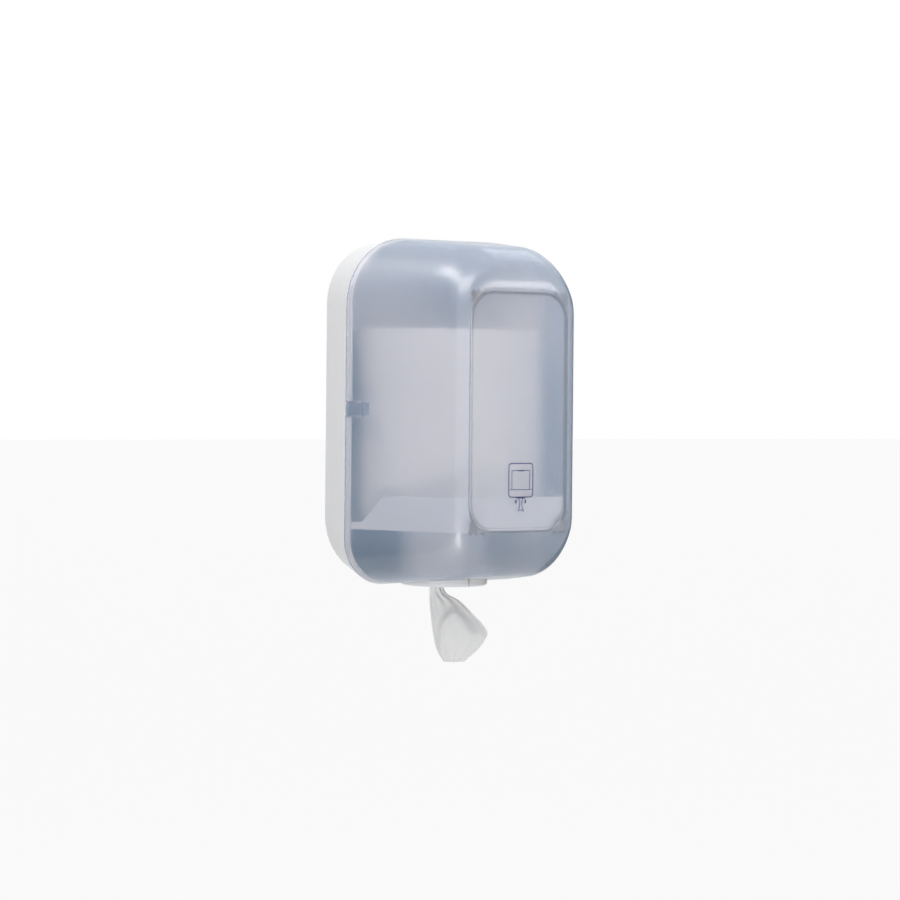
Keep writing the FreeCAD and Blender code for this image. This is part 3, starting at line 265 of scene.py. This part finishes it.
# The front cover: one shell of smoked see-through plastic, 2.5 mm thick, with a sunk front panel.
# It swings on two pinned knuckles on its right edge, and its strike on the left hooks on the catch.

rim_depth = 102.0
cover_depth = 126.0
rim_half_width = 122.0
rim_half_height = 173.5
front_half_width = 58.0
front_half_height = 119.0
shoulder_radius = 16.0
crown_radius = 46.0
cover_wall = 2.5
corner_steps = 28
rim_corners = (70.0, 46.0)
mid_corners = (60.0, 46.0)
front_corner = 30.0
panel_half = (58.5, 118.0)
panel_corner = 27.0
panel_sink = 2.0


def lean_of(run, start, radius):
    """Slope of a straight wall that runs into a round shoulder without a kink."""
    reach = math.sqrt(run * run + start * start - radius * radius)
    return (run * start - radius * reach) / (start * start - radius * radius)


shoulder_start = cover_depth - shoulder_radius
crown_start = cover_depth - crown_radius
side_lean = lean_of(rim_half_width - front_half_width, shoulder_start, shoulder_radius)
top_lean = lean_of(rim_half_height - front_half_height, crown_start, crown_radius)


def cover_sizes(depth, inset):
    """Half width, half height and the two corner radii of the cover, in millimetres."""
    sizes = []
    for rim, front, start, radius, lean in (
        (rim_half_width, front_half_width, shoulder_start, shoulder_radius, side_lean),
        (rim_half_height, front_half_height, crown_start, crown_radius, top_lean),
    ):
        stretch = math.sqrt(1 + lean * lean)
        bend = start + (radius - inset) * lean / stretch
        if depth < bend:
            sizes.append(rim - lean * depth - inset * stretch)
        else:
            sizes.append(front + math.sqrt(max(0.0, (radius - inset) ** 2 - (depth - start) ** 2)))
    for rim, mid in zip(rim_corners, mid_corners):
        if depth < crown_start:
            radius = rim + (mid - rim) * depth / crown_start
        else:
            share = (depth - crown_start) / (crown_radius - inset)
            radius = front_corner + (mid - front_corner) * math.sqrt(max(0.0, 1 - share * share))
        sizes.append(radius - inset)
    return sizes


def rounded_ring(half_width, half_height, top_radius, low_radius, depth):
    """A rounded rectangle at a depth from the wall, as points in metres."""
    points = []
    for x, z, radius, quarter in (
        (half_width, half_height, top_radius, 0),
        (-half_width, half_height, top_radius, 1),
        (-half_width, -half_height, low_radius, 2),
        (half_width, -half_height, low_radius, 3),
    ):
        middle = (x - math.copysign(radius, x), z - math.copysign(radius, z))
        for step in range(corner_steps + 1):
            turn = (quarter + step / corner_steps) * math.pi / 2
            points.append(
                Vector(
                    (
                        (middle[0] + radius * math.cos(turn)) * mm,
                        -depth * mm,
                        (middle[1] + radius * math.sin(turn)) * mm,
                    )
                )
            )
    return points


def shell_of_rings(name, rings, closed=True, capped=True):
    """A mesh whose skin runs from ring to ring, with a flat face over each end."""
    count = len(rings[0])
    points = [point for ring in rings for point in ring]
    faces = []
    for row in range(len(rings) - 1):
        for i in range(count if closed else count - 1):
            j = (i + 1) % count
            a, b = row * count, (row + 1) * count
            faces.append((a + i, a + j, b + j, b + i))
    if capped:
        faces.append(tuple(range(count - 1, -1, -1)))
        last = (len(rings) - 1) * count
        faces.append(tuple(range(last, last + count)))
    mesh = bpy.data.meshes.new(name)
    mesh.from_pydata(points, [], faces)
    mesh.update()
    return mesh


def soften(piece, angle=35.0):
    """Smooth shading, apart from edges that are sharper than the angle."""
    mesh = bmesh.new()
    mesh.from_mesh(piece.data)
    bmesh.ops.recalc_face_normals(mesh, faces=mesh.faces)
    for face in mesh.faces:
        face.smooth = True
    for edge in mesh.edges:
        sharp = len(edge.link_faces) == 2 and edge.calc_face_angle(0.0) > math.radians(angle)
        edge.smooth = not sharp
    mesh.to_mesh(piece.data)
    mesh.free()


def join_solids(piece, tools, how):
    """Adds to a piece, or takes from it, what the tools hold, and drops the tools."""
    for tool in tools:
        step = piece.modifiers.new("cut", "BOOLEAN")
        step.operation = how
        step.solver = "EXACT"
        step.object = tool
    bpy.context.view_layer.update()
    shaped = piece.evaluated_get(bpy.context.evaluated_depsgraph_get())
    mesh = bpy.data.meshes.new_from_object(shaped)
    piece.modifiers.clear()
    old = piece.data
    piece.data = mesh
    mesh.name = piece.name
    bpy.data.meshes.remove(old)
    for tool in tools:
        bpy.data.meshes.remove(tool.data)


def prism(name, corners, low, high):
    """An upright bar over an outline, in millimetres."""
    area = sum(a[0] * b[1] - b[0] * a[1] for a, b in zip(corners, corners[1:] + corners[:1]))
    if area < 0:
        corners = corners[::-1]
    rings = [[Vector((x, y, level)) * mm for x, y in corners] for level in (low, high)]
    piece = add_object(name, shell_of_rings(name, rings))
    mesh = bmesh.new()
    mesh.from_mesh(piece.data)
    bmesh.ops.recalc_face_normals(mesh, faces=mesh.faces)
    mesh.to_mesh(piece.data)
    mesh.free()
    return piece


def circle(x, y, radius, steps=48):
    return [
        (
            x + radius * math.cos(2 * math.pi * i / steps),
            y + radius * math.sin(2 * math.pi * i / steps),
        )
        for i in range(steps)
    ]


def box_outline(x_low, x_high, y_low, y_high):
    return [(x_low, y_low), (x_high, y_low), (x_high, y_high), (x_low, y_high)]


crown_turns = [90 * i / 16 for i in range(17)]
edge_round = 0.5
wall_levels = (14.0, 28.0, 42.0, 56.0, 70.0)
rings = []
# behind the panel, from its middle outwards to the inner wall
panel_back = rim_depth + cover_depth - cover_wall - panel_sink
for grow, back in ((-0.8, 0.0), (-0.2, 0.2), (0.0, 0.8), (0.1, 1.5)):
    rings.append(
        rounded_ring(
            panel_half[0] + grow,
            panel_half[1] + grow,
            panel_corner + grow,
            panel_corner + grow,
            panel_back + back,
        )
    )
inner_turn = math.degrees(
    math.asin((cover_depth - cover_wall - 0.05 - crown_start) / (crown_radius - cover_wall))
)
for turn in [t for t in reversed(crown_turns) if t < inner_turn]:
    depth = crown_start + (crown_radius - cover_wall) * math.sin(math.radians(turn))
    rings.append(rounded_ring(*cover_sizes(depth, cover_wall), rim_depth + depth))
for depth in (*reversed(wall_levels), edge_round):
    rings.append(rounded_ring(*cover_sizes(depth, cover_wall), rim_depth + depth))
# round the rim's edge, from the inner wall to the outer one
for share in (0.29, 1.0):
    depth = edge_round * (1 - share)
    sizes = cover_sizes(depth, cover_wall - edge_round * share)
    rings.append(rounded_ring(*sizes, rim_depth + depth * (1 - share)))
rings.append(rounded_ring(*cover_sizes(0.0, edge_round), rim_depth))
rings.append(rounded_ring(*cover_sizes(0.15, 0.15), rim_depth + 0.15))
for depth in (edge_round, *wall_levels):
    rings.append(rounded_ring(*cover_sizes(depth, 0.0), rim_depth + depth))
for turn in crown_turns:
    depth = crown_start + crown_radius * math.sin(math.radians(turn))
    if cover_sizes(depth, 0.0)[0] > panel_half[0] + 0.9:
        rings.append(rounded_ring(*cover_sizes(depth, 0.0), rim_depth + depth))
# over the panel's crisp edge, down its slope and out in a hollow on its face
for grow, sink, lift in (
    (0.35, 0.0, 0.0),
    (0.1, 0.08, 0.0),
    (-0.1, 0.22, 0.0),
    (-1.3, 1.25, 0.5),
    (-2.1, 1.75, 0.8),
    (-3.0, 2.0, 1.0),
):
    ring = rounded_ring(
        panel_half[0] + grow,
        panel_half[1] + grow - lift,
        panel_corner + grow,
        panel_corner + grow,
        rim_depth + cover_depth - sink,
    )
    for point in ring:
        point.z += lift * mm
    rings.append(ring)
cover = add_object("smoked_cover", shell_of_rings("smoked_cover", rings))

outlet_depth = 102.0
collar_radius = 44.0
notch_room = 2.0
notch_low, notch_high = -176.0, -149.5
catch_z = 1.5
slot_end = -109.4
slot_depth = 2.0
slot_half = 6.5
hinge_rise = 65.0
hinge_length = 36.0
cover_knuckle = 19.2
knuckle_radius = 4.0
knuckle_room = 0.4
notch = circle(0, -outlet_depth, collar_radius + notch_room, 96)
slot = box_outline(-rim_half_width - 1, slot_end, -rim_depth - slot_depth, -rim_depth + 1)
cutters = [
    prism("notch", notch, notch_low, notch_high),
    prism("slot", slot, catch_z - slot_half, catch_z + slot_half),
]
for level in (hinge_rise, -hinge_rise):
    cutters.append(
        prism(
            "room",
            circle(rim_half_width, -rim_depth, knuckle_radius + knuckle_room),
            level - hinge_length / 2 - knuckle_room,
            level + hinge_length / 2 + knuckle_room,
        )
    )
join_solids(cover, cutters, "DIFFERENCE")

strike_x = rim_half_width - 1.5
strike_back, strike_hook, strike_front = 11.0, 14.0, 17.0
strike_half = 7.5
strike_tip = 109.9
ribs = [
    prism(
        "strike",
        [
            (-(strike_x - side_lean * strike_back), -rim_depth - strike_back),
            (-(strike_x - side_lean * strike_front), -rim_depth - strike_front),
            (-strike_tip, -rim_depth - strike_front),
            (-strike_tip, -rim_depth - strike_hook),
        ],
        catch_z - strike_half,
        catch_z + strike_half,
    )
]
gusset = 14.0
web_reach = 3.88
for level in (hinge_rise, -hinge_rise):
    low, high = level - cover_knuckle / 2, level + cover_knuckle / 2
    ribs.append(prism("barrel", circle(rim_half_width, -rim_depth, knuckle_radius), low, high))
    ribs.append(
        prism(
            "web",
            [
                (rim_half_width + web_reach, -rim_depth),
                (rim_half_width - side_lean * gusset - cover_wall / 2, -rim_depth - gusset),
                (rim_half_width - cover_wall / 2, -rim_depth),
            ],
            low,
            high,
        )
    )
join_solids(cover, ribs, "UNION")
pin_bore = 1.56
bores = [
    prism(
        "bore",
        circle(rim_half_width, -rim_depth, pin_bore, 24),
        level - hinge_length / 2,
        level + hinge_length / 2,
    )
    for level in (hinge_rise, -hinge_rise)
]
join_solids(cover, bores, "DIFFERENCE")
soften(cover)

cover_ior = 1.48


def clear_plastic(name, low, high, clearness):
    """Satin see-through plastic, with a faint cloud in its colour and its gloss."""
    made, tree, shader = new_material(name)
    cloud = noise_of(tree, 7.0, 2.0)
    satin = ramp(tree, noise_of(tree, 12.0, 1.0), 0.23, 0.26)
    tree.links.new(ramp(tree, cloud, low, high), shader.inputs["Base Color"])
    shader.inputs["Transmission Weight"].default_value = clearness
    tree.links.new(satin, shader.inputs["Roughness"])
    shader.inputs["IOR"].default_value = cover_ior
    return made, tree, shader, cloud, satin


smoked, tree, shader, cloud, satin = clear_plastic(
    "smoked_plastic", (0.88, 0.81, 0.77), (0.91, 0.84, 0.80), 0.96
)
# a blue haze in the plastic, and the light that it lets through to what stands behind it
haze = tree.nodes.new("ShaderNodeBsdfPrincipled")
tree.links.new(ramp(tree, cloud, (0.20, 0.38, 0.60), (0.24, 0.42, 0.65)), haze.inputs["Base Color"])
tree.links.new(satin, haze.inputs["Roughness"])
haze.inputs["IOR"].default_value = cover_ior
body = tree.nodes.new("ShaderNodeMixShader")
body.inputs["Fac"].default_value = 0.23
tree.links.new(shader.outputs[0], body.inputs[1])
tree.links.new(haze.outputs[0], body.inputs[2])
clear = tree.nodes.new("ShaderNodeBsdfTransparent")
clear.inputs["Color"].default_value = (0.83, 0.77, 0.73, 1.0)
path = tree.nodes.new("ShaderNodeLightPath")
mix = tree.nodes.new("ShaderNodeMixShader")
tree.links.new(path.outputs["Is Shadow Ray"], mix.inputs["Fac"])
tree.links.new(body.outputs[0], mix.inputs[1])
tree.links.new(clear.outputs[0], mix.inputs[2])
tree.links.new(mix.outputs[0], tree.nodes["Material Output"].inputs["Surface"])

# painted shade: the slope round the sunk panel gets a darker, less clear colour, standing in for
# the light lost running inside the wall, so its edge looks deeper in tone
painted_edge_shade = clear_plastic("smoked_edge_painted_shade", (0.38, 0.41, 0.46), (0.42, 0.45, 0.50), 0.92)[0]
cover.data.materials.clear()
cover.data.materials.append(smoked)
cover.data.materials.append(painted_edge_shade)
face_level = rim_depth + cover_depth
# faces on the panel's slope take the darker painted-shade material
for face in cover.data.polygons:
    x, y, z = (abs(c) / mm for c in face.center)
    on_slope = face_level - panel_sink + 0.05 < y < face_level - 0.07
    inside = x < panel_half[0] + 0.4 and z < panel_half[1] + 0.4
    face.material_index = 1 if on_slope and inside else 0
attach(cover, "cover")
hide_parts("front_cover")


# Print on the panel: a small pictogram in dark blue ink that shows where the paper is drawn.
# The place above it, which may hold a name, stays bare.

ink, tree, shader = new_material("print_ink")
tree.links.new(
    ramp(tree, noise_of(tree, 800.0, 2.0), (0.035, 0.045, 0.16), (0.05, 0.06, 0.2)),
    shader.inputs["Base Color"],
)
shader.inputs["Roughness"].default_value = 0.45
print_face = -(rim_depth + cover_depth - panel_sink)
ink_height = 0.06
ink_width = 0.62


def stroke(points, closed=False, width=ink_width):
    """A line of ink over points of the panel, as a flat ribbon with mitred corners."""
    places = [Vector(p) for p in points]
    count = len(places)
    left, right = [], []
    for i, here in enumerate(places):
        before = places[i - 1] if (closed or i) else None
        after = places[(i + 1) % count] if (closed or i < count - 1) else None
        back = (here - before).normalized() if before is not None else None
        ahead = (after - here).normalized() if after is not None else None
        corner = back is not None and ahead is not None
        along = (back + ahead).normalized() if corner else (back or ahead)
        side = Vector((-along.y, along.x))
        if corner:
            normal = Vector((-ahead.y, ahead.x))
            side = side / max(0.4, side.dot(normal))
        left.append(here + side * width / 2)
        right.append(here - side * width / 2)
    points, faces = [], []
    for i in range(count):
        for place in (left[i], right[i]):
            for y in (print_face, print_face - ink_height):
                points.append((place.x * mm, y * mm, place.y * mm))
    for i in range(count if closed else count - 1):
        a, b = 4 * i, 4 * ((i + 1) % count)
        faces += [
            (a + 1, b + 1, b + 3, a + 3),
            (a, a + 2, b + 2, b),
            (a, b, b + 1, a + 1),
            (a + 2, a + 3, b + 3, b + 2),
        ]
    if not closed:
        end = 4 * (count - 1)
        faces += [(0, 1, 3, 2), (end, end + 2, end + 3, end + 1)]
    return points, faces


def round_frame(x, z, half_width, half_height, radius):
    points = []
    for quarter, (cx, cz) in enumerate(
        (
            (half_width - radius, half_height - radius),
            (radius - half_width, half_height - radius),
            (radius - half_width, radius - half_height),
            (half_width - radius, radius - half_height),
        )
    ):
        for step in range(7):
            turn = (quarter + step / 6) * math.pi / 2
            points.append((x + cx + radius * math.cos(turn), z + cz + radius * math.sin(turn)))
    return points


sign_x = 3.4
strokes = [
    stroke(round_frame(sign_x, -66.8, 14.7, 16.5, 3.2), closed=True, width=0.95),
    stroke(round_frame(sign_x, -66.6, 10.9, 9.4, 0.8), closed=True),
    stroke([(sign_x - 3.2, -57.4), (sign_x + 3.2, -57.4)], width=1.3),
    stroke([(sign_x - 14.4, -76.0), (sign_x - 10.9, -76.0)], width=0.45),
    stroke([(sign_x + 10.9, -76.0), (sign_x + 14.4, -76.0)], width=0.45),
    stroke([(sign_x - 5.4, -84.0), (sign_x + 5.4, -84.0)], width=1.2),
    stroke([(sign_x - 2.4, -84.6), (sign_x - 1.0, -90.6), (sign_x - 3.0, -97.0)]),
    stroke([(sign_x + 2.4, -84.6), (sign_x + 1.0, -90.6), (sign_x + 4.0, -97.6)]),
    stroke([(sign_x - 3.0, -97.0), (sign_x + 0.6, -95.6), (sign_x + 4.0, -97.6)], width=0.5),
]
for side in (-1, 1):
    x = sign_x + 5.8 * side
    strokes.append(stroke([(x, -86.2), (x, -89.4)], width=1.7))
points, faces = [], []
for more_points, more_faces in strokes:
    start = len(points)
    points += more_points
    faces += [tuple(start + i for i in face) for face in more_faces]
mesh = bpy.data.meshes.new("panel_print")
mesh.from_pydata(points, [], faces)
mesh.materials.append(ink)
panel_print = add_object("panel_print", mesh)
soften(panel_print)
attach(panel_print, "cover")


# The two hinge pins: drawn steel wire, pressed into the tub's knuckles.

pin_steel, tree, shader = new_material("pin_steel")
lines = noise_of(tree, 900.0, 2.0, (1.0, 1.0, 0.04))
drawn = ramp(tree, lines, (0.55, 0.55, 0.56), (0.68, 0.68, 0.7))
tree.links.new(drawn, shader.inputs["Base Color"])
tree.links.new(ramp(tree, lines, 0.22, 0.36), shader.inputs["Roughness"])
shader.inputs["Metallic"].default_value = 1.0
for name in ("hinge_pin_upper", "hinge_pin_lower"):
    dress(name, pin_steel)


# The catch: a slider of grey acetal that is pressed in at the edge of the cover.
# It runs in a white guide that two screws hold, and a small coil pushes it back out.

catch_grey = moulded_plastic("catch_grey", (0.26, 0.28, 0.31), (0.30, 0.32, 0.35), 0.42)
dress("latch_slider", catch_grey)
dress("latch_housing", tub_white)
zinc, tree, shader = new_material("zinc_steel")
tree.links.new(
    ramp(tree, noise_of(tree, 500.0, 4.0), (0.52, 0.53, 0.56), (0.66, 0.67, 0.68)),
    shader.inputs["Base Color"],
)
tree.links.new(ramp(tree, noise_of(tree, 240.0, 3.0), 0.26, 0.42), shader.inputs["Roughness"])
shader.inputs["Metallic"].default_value = 1.0
dress("latch_screws", zinc)
dress("latch_spring", zinc)


# The tray that the roll stands on, the collar under it and the nozzle in the collar.
# They are moulded in natural white polypropylene, and the collar snaps into the tray.

tray_white = moulded_plastic("tray_white", (0.78, 0.80, 0.82), (0.84, 0.85, 0.87), 0.45)
dress("roll_tray", tray_white)
dress("tray_screws", zinc)
dress("nozzle", tray_white)

collar_top = -113.5
tray_floor = -115.5
collar_low = -176.5
collar_wall = 2.2
collar_flange = 9.0
tray_wall = 2.2
hook_gap = 0.1
hook_top = tray_floor - tray_wall - hook_gap
step_in = 2.0
slit_half = 1.5


def rounded_profile(corners, rounds):
    """The corners of a profile, each with its own rounding, as one closed line."""
    steps = 5
    line = []
    count = len(corners)
    for i in range(count):
        here = Vector(corners[i])
        radius = rounds[i]
        if radius <= 0:
            line.append(here)
            continue
        back = (Vector(corners[i - 1]) - here).normalized()
        ahead = (Vector(corners[(i + 1) % count]) - here).normalized()
        start, end = here + back * radius, here + ahead * radius
        for step in range(steps + 1):
            t = step / steps
            line.append(start * (1 - t) ** 2 + here * 2 * t * (1 - t) + end * t * t)
    return line


def slit_ring(profile, turns):
    """The profile turned about the outlet's axis, and open at the front by a straight slit."""
    rings = []
    for turn_share in range(turns + 1):
        ring = []
        for radius, z in profile:
            open_half = math.asin(slit_half / radius)
            turn = -math.pi / 2 + open_half + (2 * math.pi - 2 * open_half) * turn_share / turns
            ring.append(
                Vector(
                    (
                        radius * math.cos(turn) * mm,
                        (radius * math.sin(turn) - outlet_depth) * mm,
                        z * mm,
                    )
                )
            )
        rings.append(ring)
    return rings


profile = rounded_profile(
    [
        (collar_radius - collar_wall - step_in, collar_low),
        (collar_radius, collar_low),
        (collar_radius, hook_top - 3.9),
        (collar_radius + 1.3, hook_top),
        (collar_radius, hook_top),
        (collar_radius, tray_floor),
        (collar_radius + collar_flange, tray_floor),
        (collar_radius + collar_flange, collar_top),
        (collar_radius - collar_wall, collar_top),
        (collar_radius - collar_wall, collar_low + step_in),
        (collar_radius - collar_wall - step_in, collar_low + step_in),
    ],
    [0.5, 3.4, 0.5, 0.3, 0.0, 0.0, 0.4, 0.9, 0.8, 0.0, 0.4],
)
collar = add_object("collar", shell_of_rings("collar", slit_ring(profile, 128)))
soften(collar, 40.0)
collar.data.materials.append(tray_white)
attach(collar, "wall_part")
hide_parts("outlet_collar")


# The roll: white tissue wound round an open middle without a core, embossed with small dots.
# It stands on end, a little uneven from layer to layer, with its outer end lapped over.

roll_radius = 95.5
roll_bore = 30.0
roll_low = -113.2
roll_height = 195.0
roll_turns = 288

tissue, tree, shader = new_material("tissue")
tree.links.new(
    ramp(tree, noise_of(tree, 30.0, 4.0), (0.86, 0.86, 0.86), (0.91, 0.91, 0.90)),
    shader.inputs["Base Color"],
)
shader.inputs["Roughness"].default_value = 0.85
shader.inputs["Sheen Weight"].default_value = 0.15
shader.inputs["Specular IOR Level"].default_value = 0.2
dots = tree.nodes.new("ShaderNodeTexVoronoi")
dots.inputs["Scale"].default_value = 420.0
tree.links.new(coordinates(tree, (1.0, 1.0, 1.0)), dots.inputs["Vector"])
bumps(tree, shader, dots.outputs["Distance"], 0.35, 0.0003)

profile = rounded_profile(
    [
        (roll_bore, roll_low),
        (roll_radius, roll_low),
        (roll_radius, roll_low + roll_height),
        (roll_bore, roll_low + roll_height),
    ],
    [1.2, 1.6, 1.6, 1.2],
)
face_step = 1.6
face_steps = []
for i, (radius, z) in enumerate(profile):
    face_steps.append((radius, z))
    following = profile[(i + 1) % len(profile)]
    run, climb = following[0] - radius, following[1] - z
    count = int(math.hypot(run, climb) // face_step)
    for step in range(1, count):
        share = step / count
        face_steps.append((radius + run * share, z + climb * share))
rings = []
for i in range(roll_turns):
    turn = 2 * math.pi * i / roll_turns
    ring = []
    for radius, z in face_steps:
        place = Vector((math.cos(turn) * 2.1, math.sin(turn) * 2.1, z * 0.011))
        soft = noise.noise(place)
        layer = noise.noise(Vector((radius * 0.9, 3.0, math.cos(turn) * 0.6)))
        across = (radius - roll_bore) / (roll_radius - roll_bore)
        upper = z > roll_low + roll_height - 2.0
        arch = math.sin(math.pi * min(1.0, max(0.0, across)))
        lift = (0.35 * layer + 0.3 * soft) * arch if upper else 0.0
        outer = across > 0.9
        out = 0.35 * soft * (1 if outer else 0.3) - (0.35 if outer else 0.0)
        ring.append(
            Vector(
                (
                    (radius + out) * math.cos(turn) * mm,
                    ((radius + out) * math.sin(turn) - outlet_depth) * mm,
                    (z + lift) * mm,
                )
            )
        )
    rings.append(ring)
count = len(face_steps)
points = [point for ring in rings for point in ring]
faces = []
for row in range(roll_turns):
    a, b = row * count, ((row + 1) % roll_turns) * count
    for i in range(count):
        j = (i + 1) % count
        faces.append((a + i, b + i, b + j, a + j))
mesh = bpy.data.meshes.new("tissue_roll")
mesh.from_pydata(points, [], faces)
mesh.materials.append(tissue)
tissue_roll = add_object("tissue_roll", mesh)
soften(tissue_roll, 60.0)
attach(tissue_roll, "wall_part")
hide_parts("paper_roll")


# The end of the paper: the innermost turn, drawn down through the nozzle and gathered by it.
# Below the collar it opens again in a few soft folds, and ends where the last sheet was torn off.

paper_thickness = 0.25
pleats = 15
collar_end = -178.0
# the broad side of the folds is turned as far to the left as the photograph shows it
tail_turn = math.radians(-34.24)
tail_right = Vector((math.cos(tail_turn), math.sin(tail_turn), 0))
tail_front = Vector((math.sin(tail_turn), -math.cos(tail_turn), 0))
outlet_axis = Vector((0, -outlet_depth * mm, 0))

# height, left edge, right edge, thickness of the bundle and depth of its ripples, in millimetres
levels = (
    (-28.0, 14.0, 26.0, 6.0, 2.0),
    (-100.0, 3.0, 16.0, 9.0, 2.3),
    (-150.0, -5.0, 7.5, 10.0, 2.3),
    (-171.0, -10.4, 1.4, 9.5, 1.7),
    (-177.5, -12.4, -2.0, 10.5, 1.5),
    (-186.0, -13.2, 3.0, 12.0, 1.0),
    (-193.0, -13.2, 15.5, 14.0, 0.8),
    (-206.0, -12.4, 29.0, 17.0, 0.6),
    (-216.0, -11.6, 38.5, 18.0, 0.5),
    (-225.0, -10.4, 44.6, 18.0, 0.5),
    (-233.0, -8.4, 41.0, 17.0, 0.5),
    (-243.0, -5.2, 34.0, 15.0, 0.5),
    (-254.5, 0.6, 21.5, 12.0, 0.5),
)
# one way round the folds seen from above: across from left to right, and from back to front
folds = (
    (0.80, 0.10),
    (0.50, 0.16),
    (0.22, 0.10),
    (0.10, 0.00),
    (0.24, -0.14),
    (0.55, -0.24),
    (0.85, -0.18),
    (1.00, 0.00),
    (0.90, 0.14),
    (0.60, 0.38),
    (0.30, 0.46),
    (0.09, 0.32),
    (0.00, 0.02),
    (0.08, -0.24),
    (0.34, -0.42),
    (0.66, -0.48),
    (0.88, -0.38),
)


def smooth_through(table, where):
    """A smooth line through the rows of a table, at a place between its first and last."""
    last = len(table) - 1
    start = min(last - 1, int(where))
    t = where - start
    rows = [table[min(last, max(0, start + k))] for k in (-1, 0, 1, 2)]
    found = []
    for a, b, c, d in zip(*rows):
        found.append(
            0.5
            * (
                2 * b
                + (c - a) * t
                + (2 * a - 5 * b + 4 * c - d) * t * t
                + (3 * b - a - 3 * c + d) * t * t * t
            )
        )
    return found


def between(low, high, where):
    """0 below a range and 1 above it, with a soft run between."""
    share = min(1.0, max(0.0, (where - low) / (high - low)))
    return share * share * (3 - 2 * share)


def lobe_depth(x, z):
    """How far the loose front fold stands out, below a brow that arches over it."""
    brow = -206.0 - (11.0 * ((12.0 - x) / 14.0) ** 2 if x < 12 else 0.67 * (x - 12.0))
    above = math.exp(-(((z - brow) / 6.5) ** 2)) if z > brow else 1.0
    below = 1.0 - 0.6 * between(0.0, 45.0, brow - z)
    return 7.0 * above * below * between(-7.0, -2.0, x)


across_steps = 300
along_steps = 150
rings = []
for row in range(along_steps + 1):
    z, left, right, thick, ripple = smooth_through(levels, row / along_steps * (len(levels) - 1))
    ring = []
    for i in range(across_steps + 1):
        share = i / across_steps
        u, v = smooth_through(folds, share * (len(folds) - 1))
        before = smooth_through(folds, max(0.0, share - 0.004) * (len(folds) - 1))
        along = Vector((u - before[0], v - before[1])) if i else Vector((-1, 0))
        normal = Vector((-along.y, along.x)).normalized()
        wave = math.sin(share * 2 * math.pi * pleats + z * 0.02)
        crease = noise.noise(Vector((share * 9, z * 0.035, 1.0))) * 1.4
        crease += noise.noise(Vector((share * 26, z * 0.09, 5.0))) * 0.5
        loose = min(1.0, max(0.0, (collar_end - z) / 20.0))
        offset = wave * ripple + crease * loose
        x = left + u * (right - left)
        lobe = lobe_depth(x, z) * between(0.12, 0.36, v) * loose
        place = outlet_axis + tail_right * ((x + normal.x * offset) * mm)
        place += tail_front * ((v * thick + lobe + normal.y * offset) * mm)
        tear = 0.0
        if row == along_steps:
            tear = 0.6 * noise.noise(Vector((share * 160, 2.0, 2.0)))
        ring.append(Vector((place.x, place.y, (z + tear) * mm)))
    rings.append(ring)
mesh = shell_of_rings("drawn_sheet", rings, closed=False, capped=False)
mesh.materials.append(tissue)
drawn_sheet = add_object("drawn_sheet", mesh)
wrap = drawn_sheet.modifiers.new("thickness", "SOLIDIFY")
wrap.thickness = paper_thickness * mm
wrap.offset = 0.0
bpy.context.view_layer.update()
solid = drawn_sheet.evaluated_get(bpy.context.evaluated_depsgraph_get())
mesh = bpy.data.meshes.new_from_object(solid)
drawn_sheet.modifiers.clear()
drawn_sheet.data = mesh
soften(drawn_sheet, 70.0)
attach(drawn_sheet, "wall_part")
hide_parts("paper_tail")
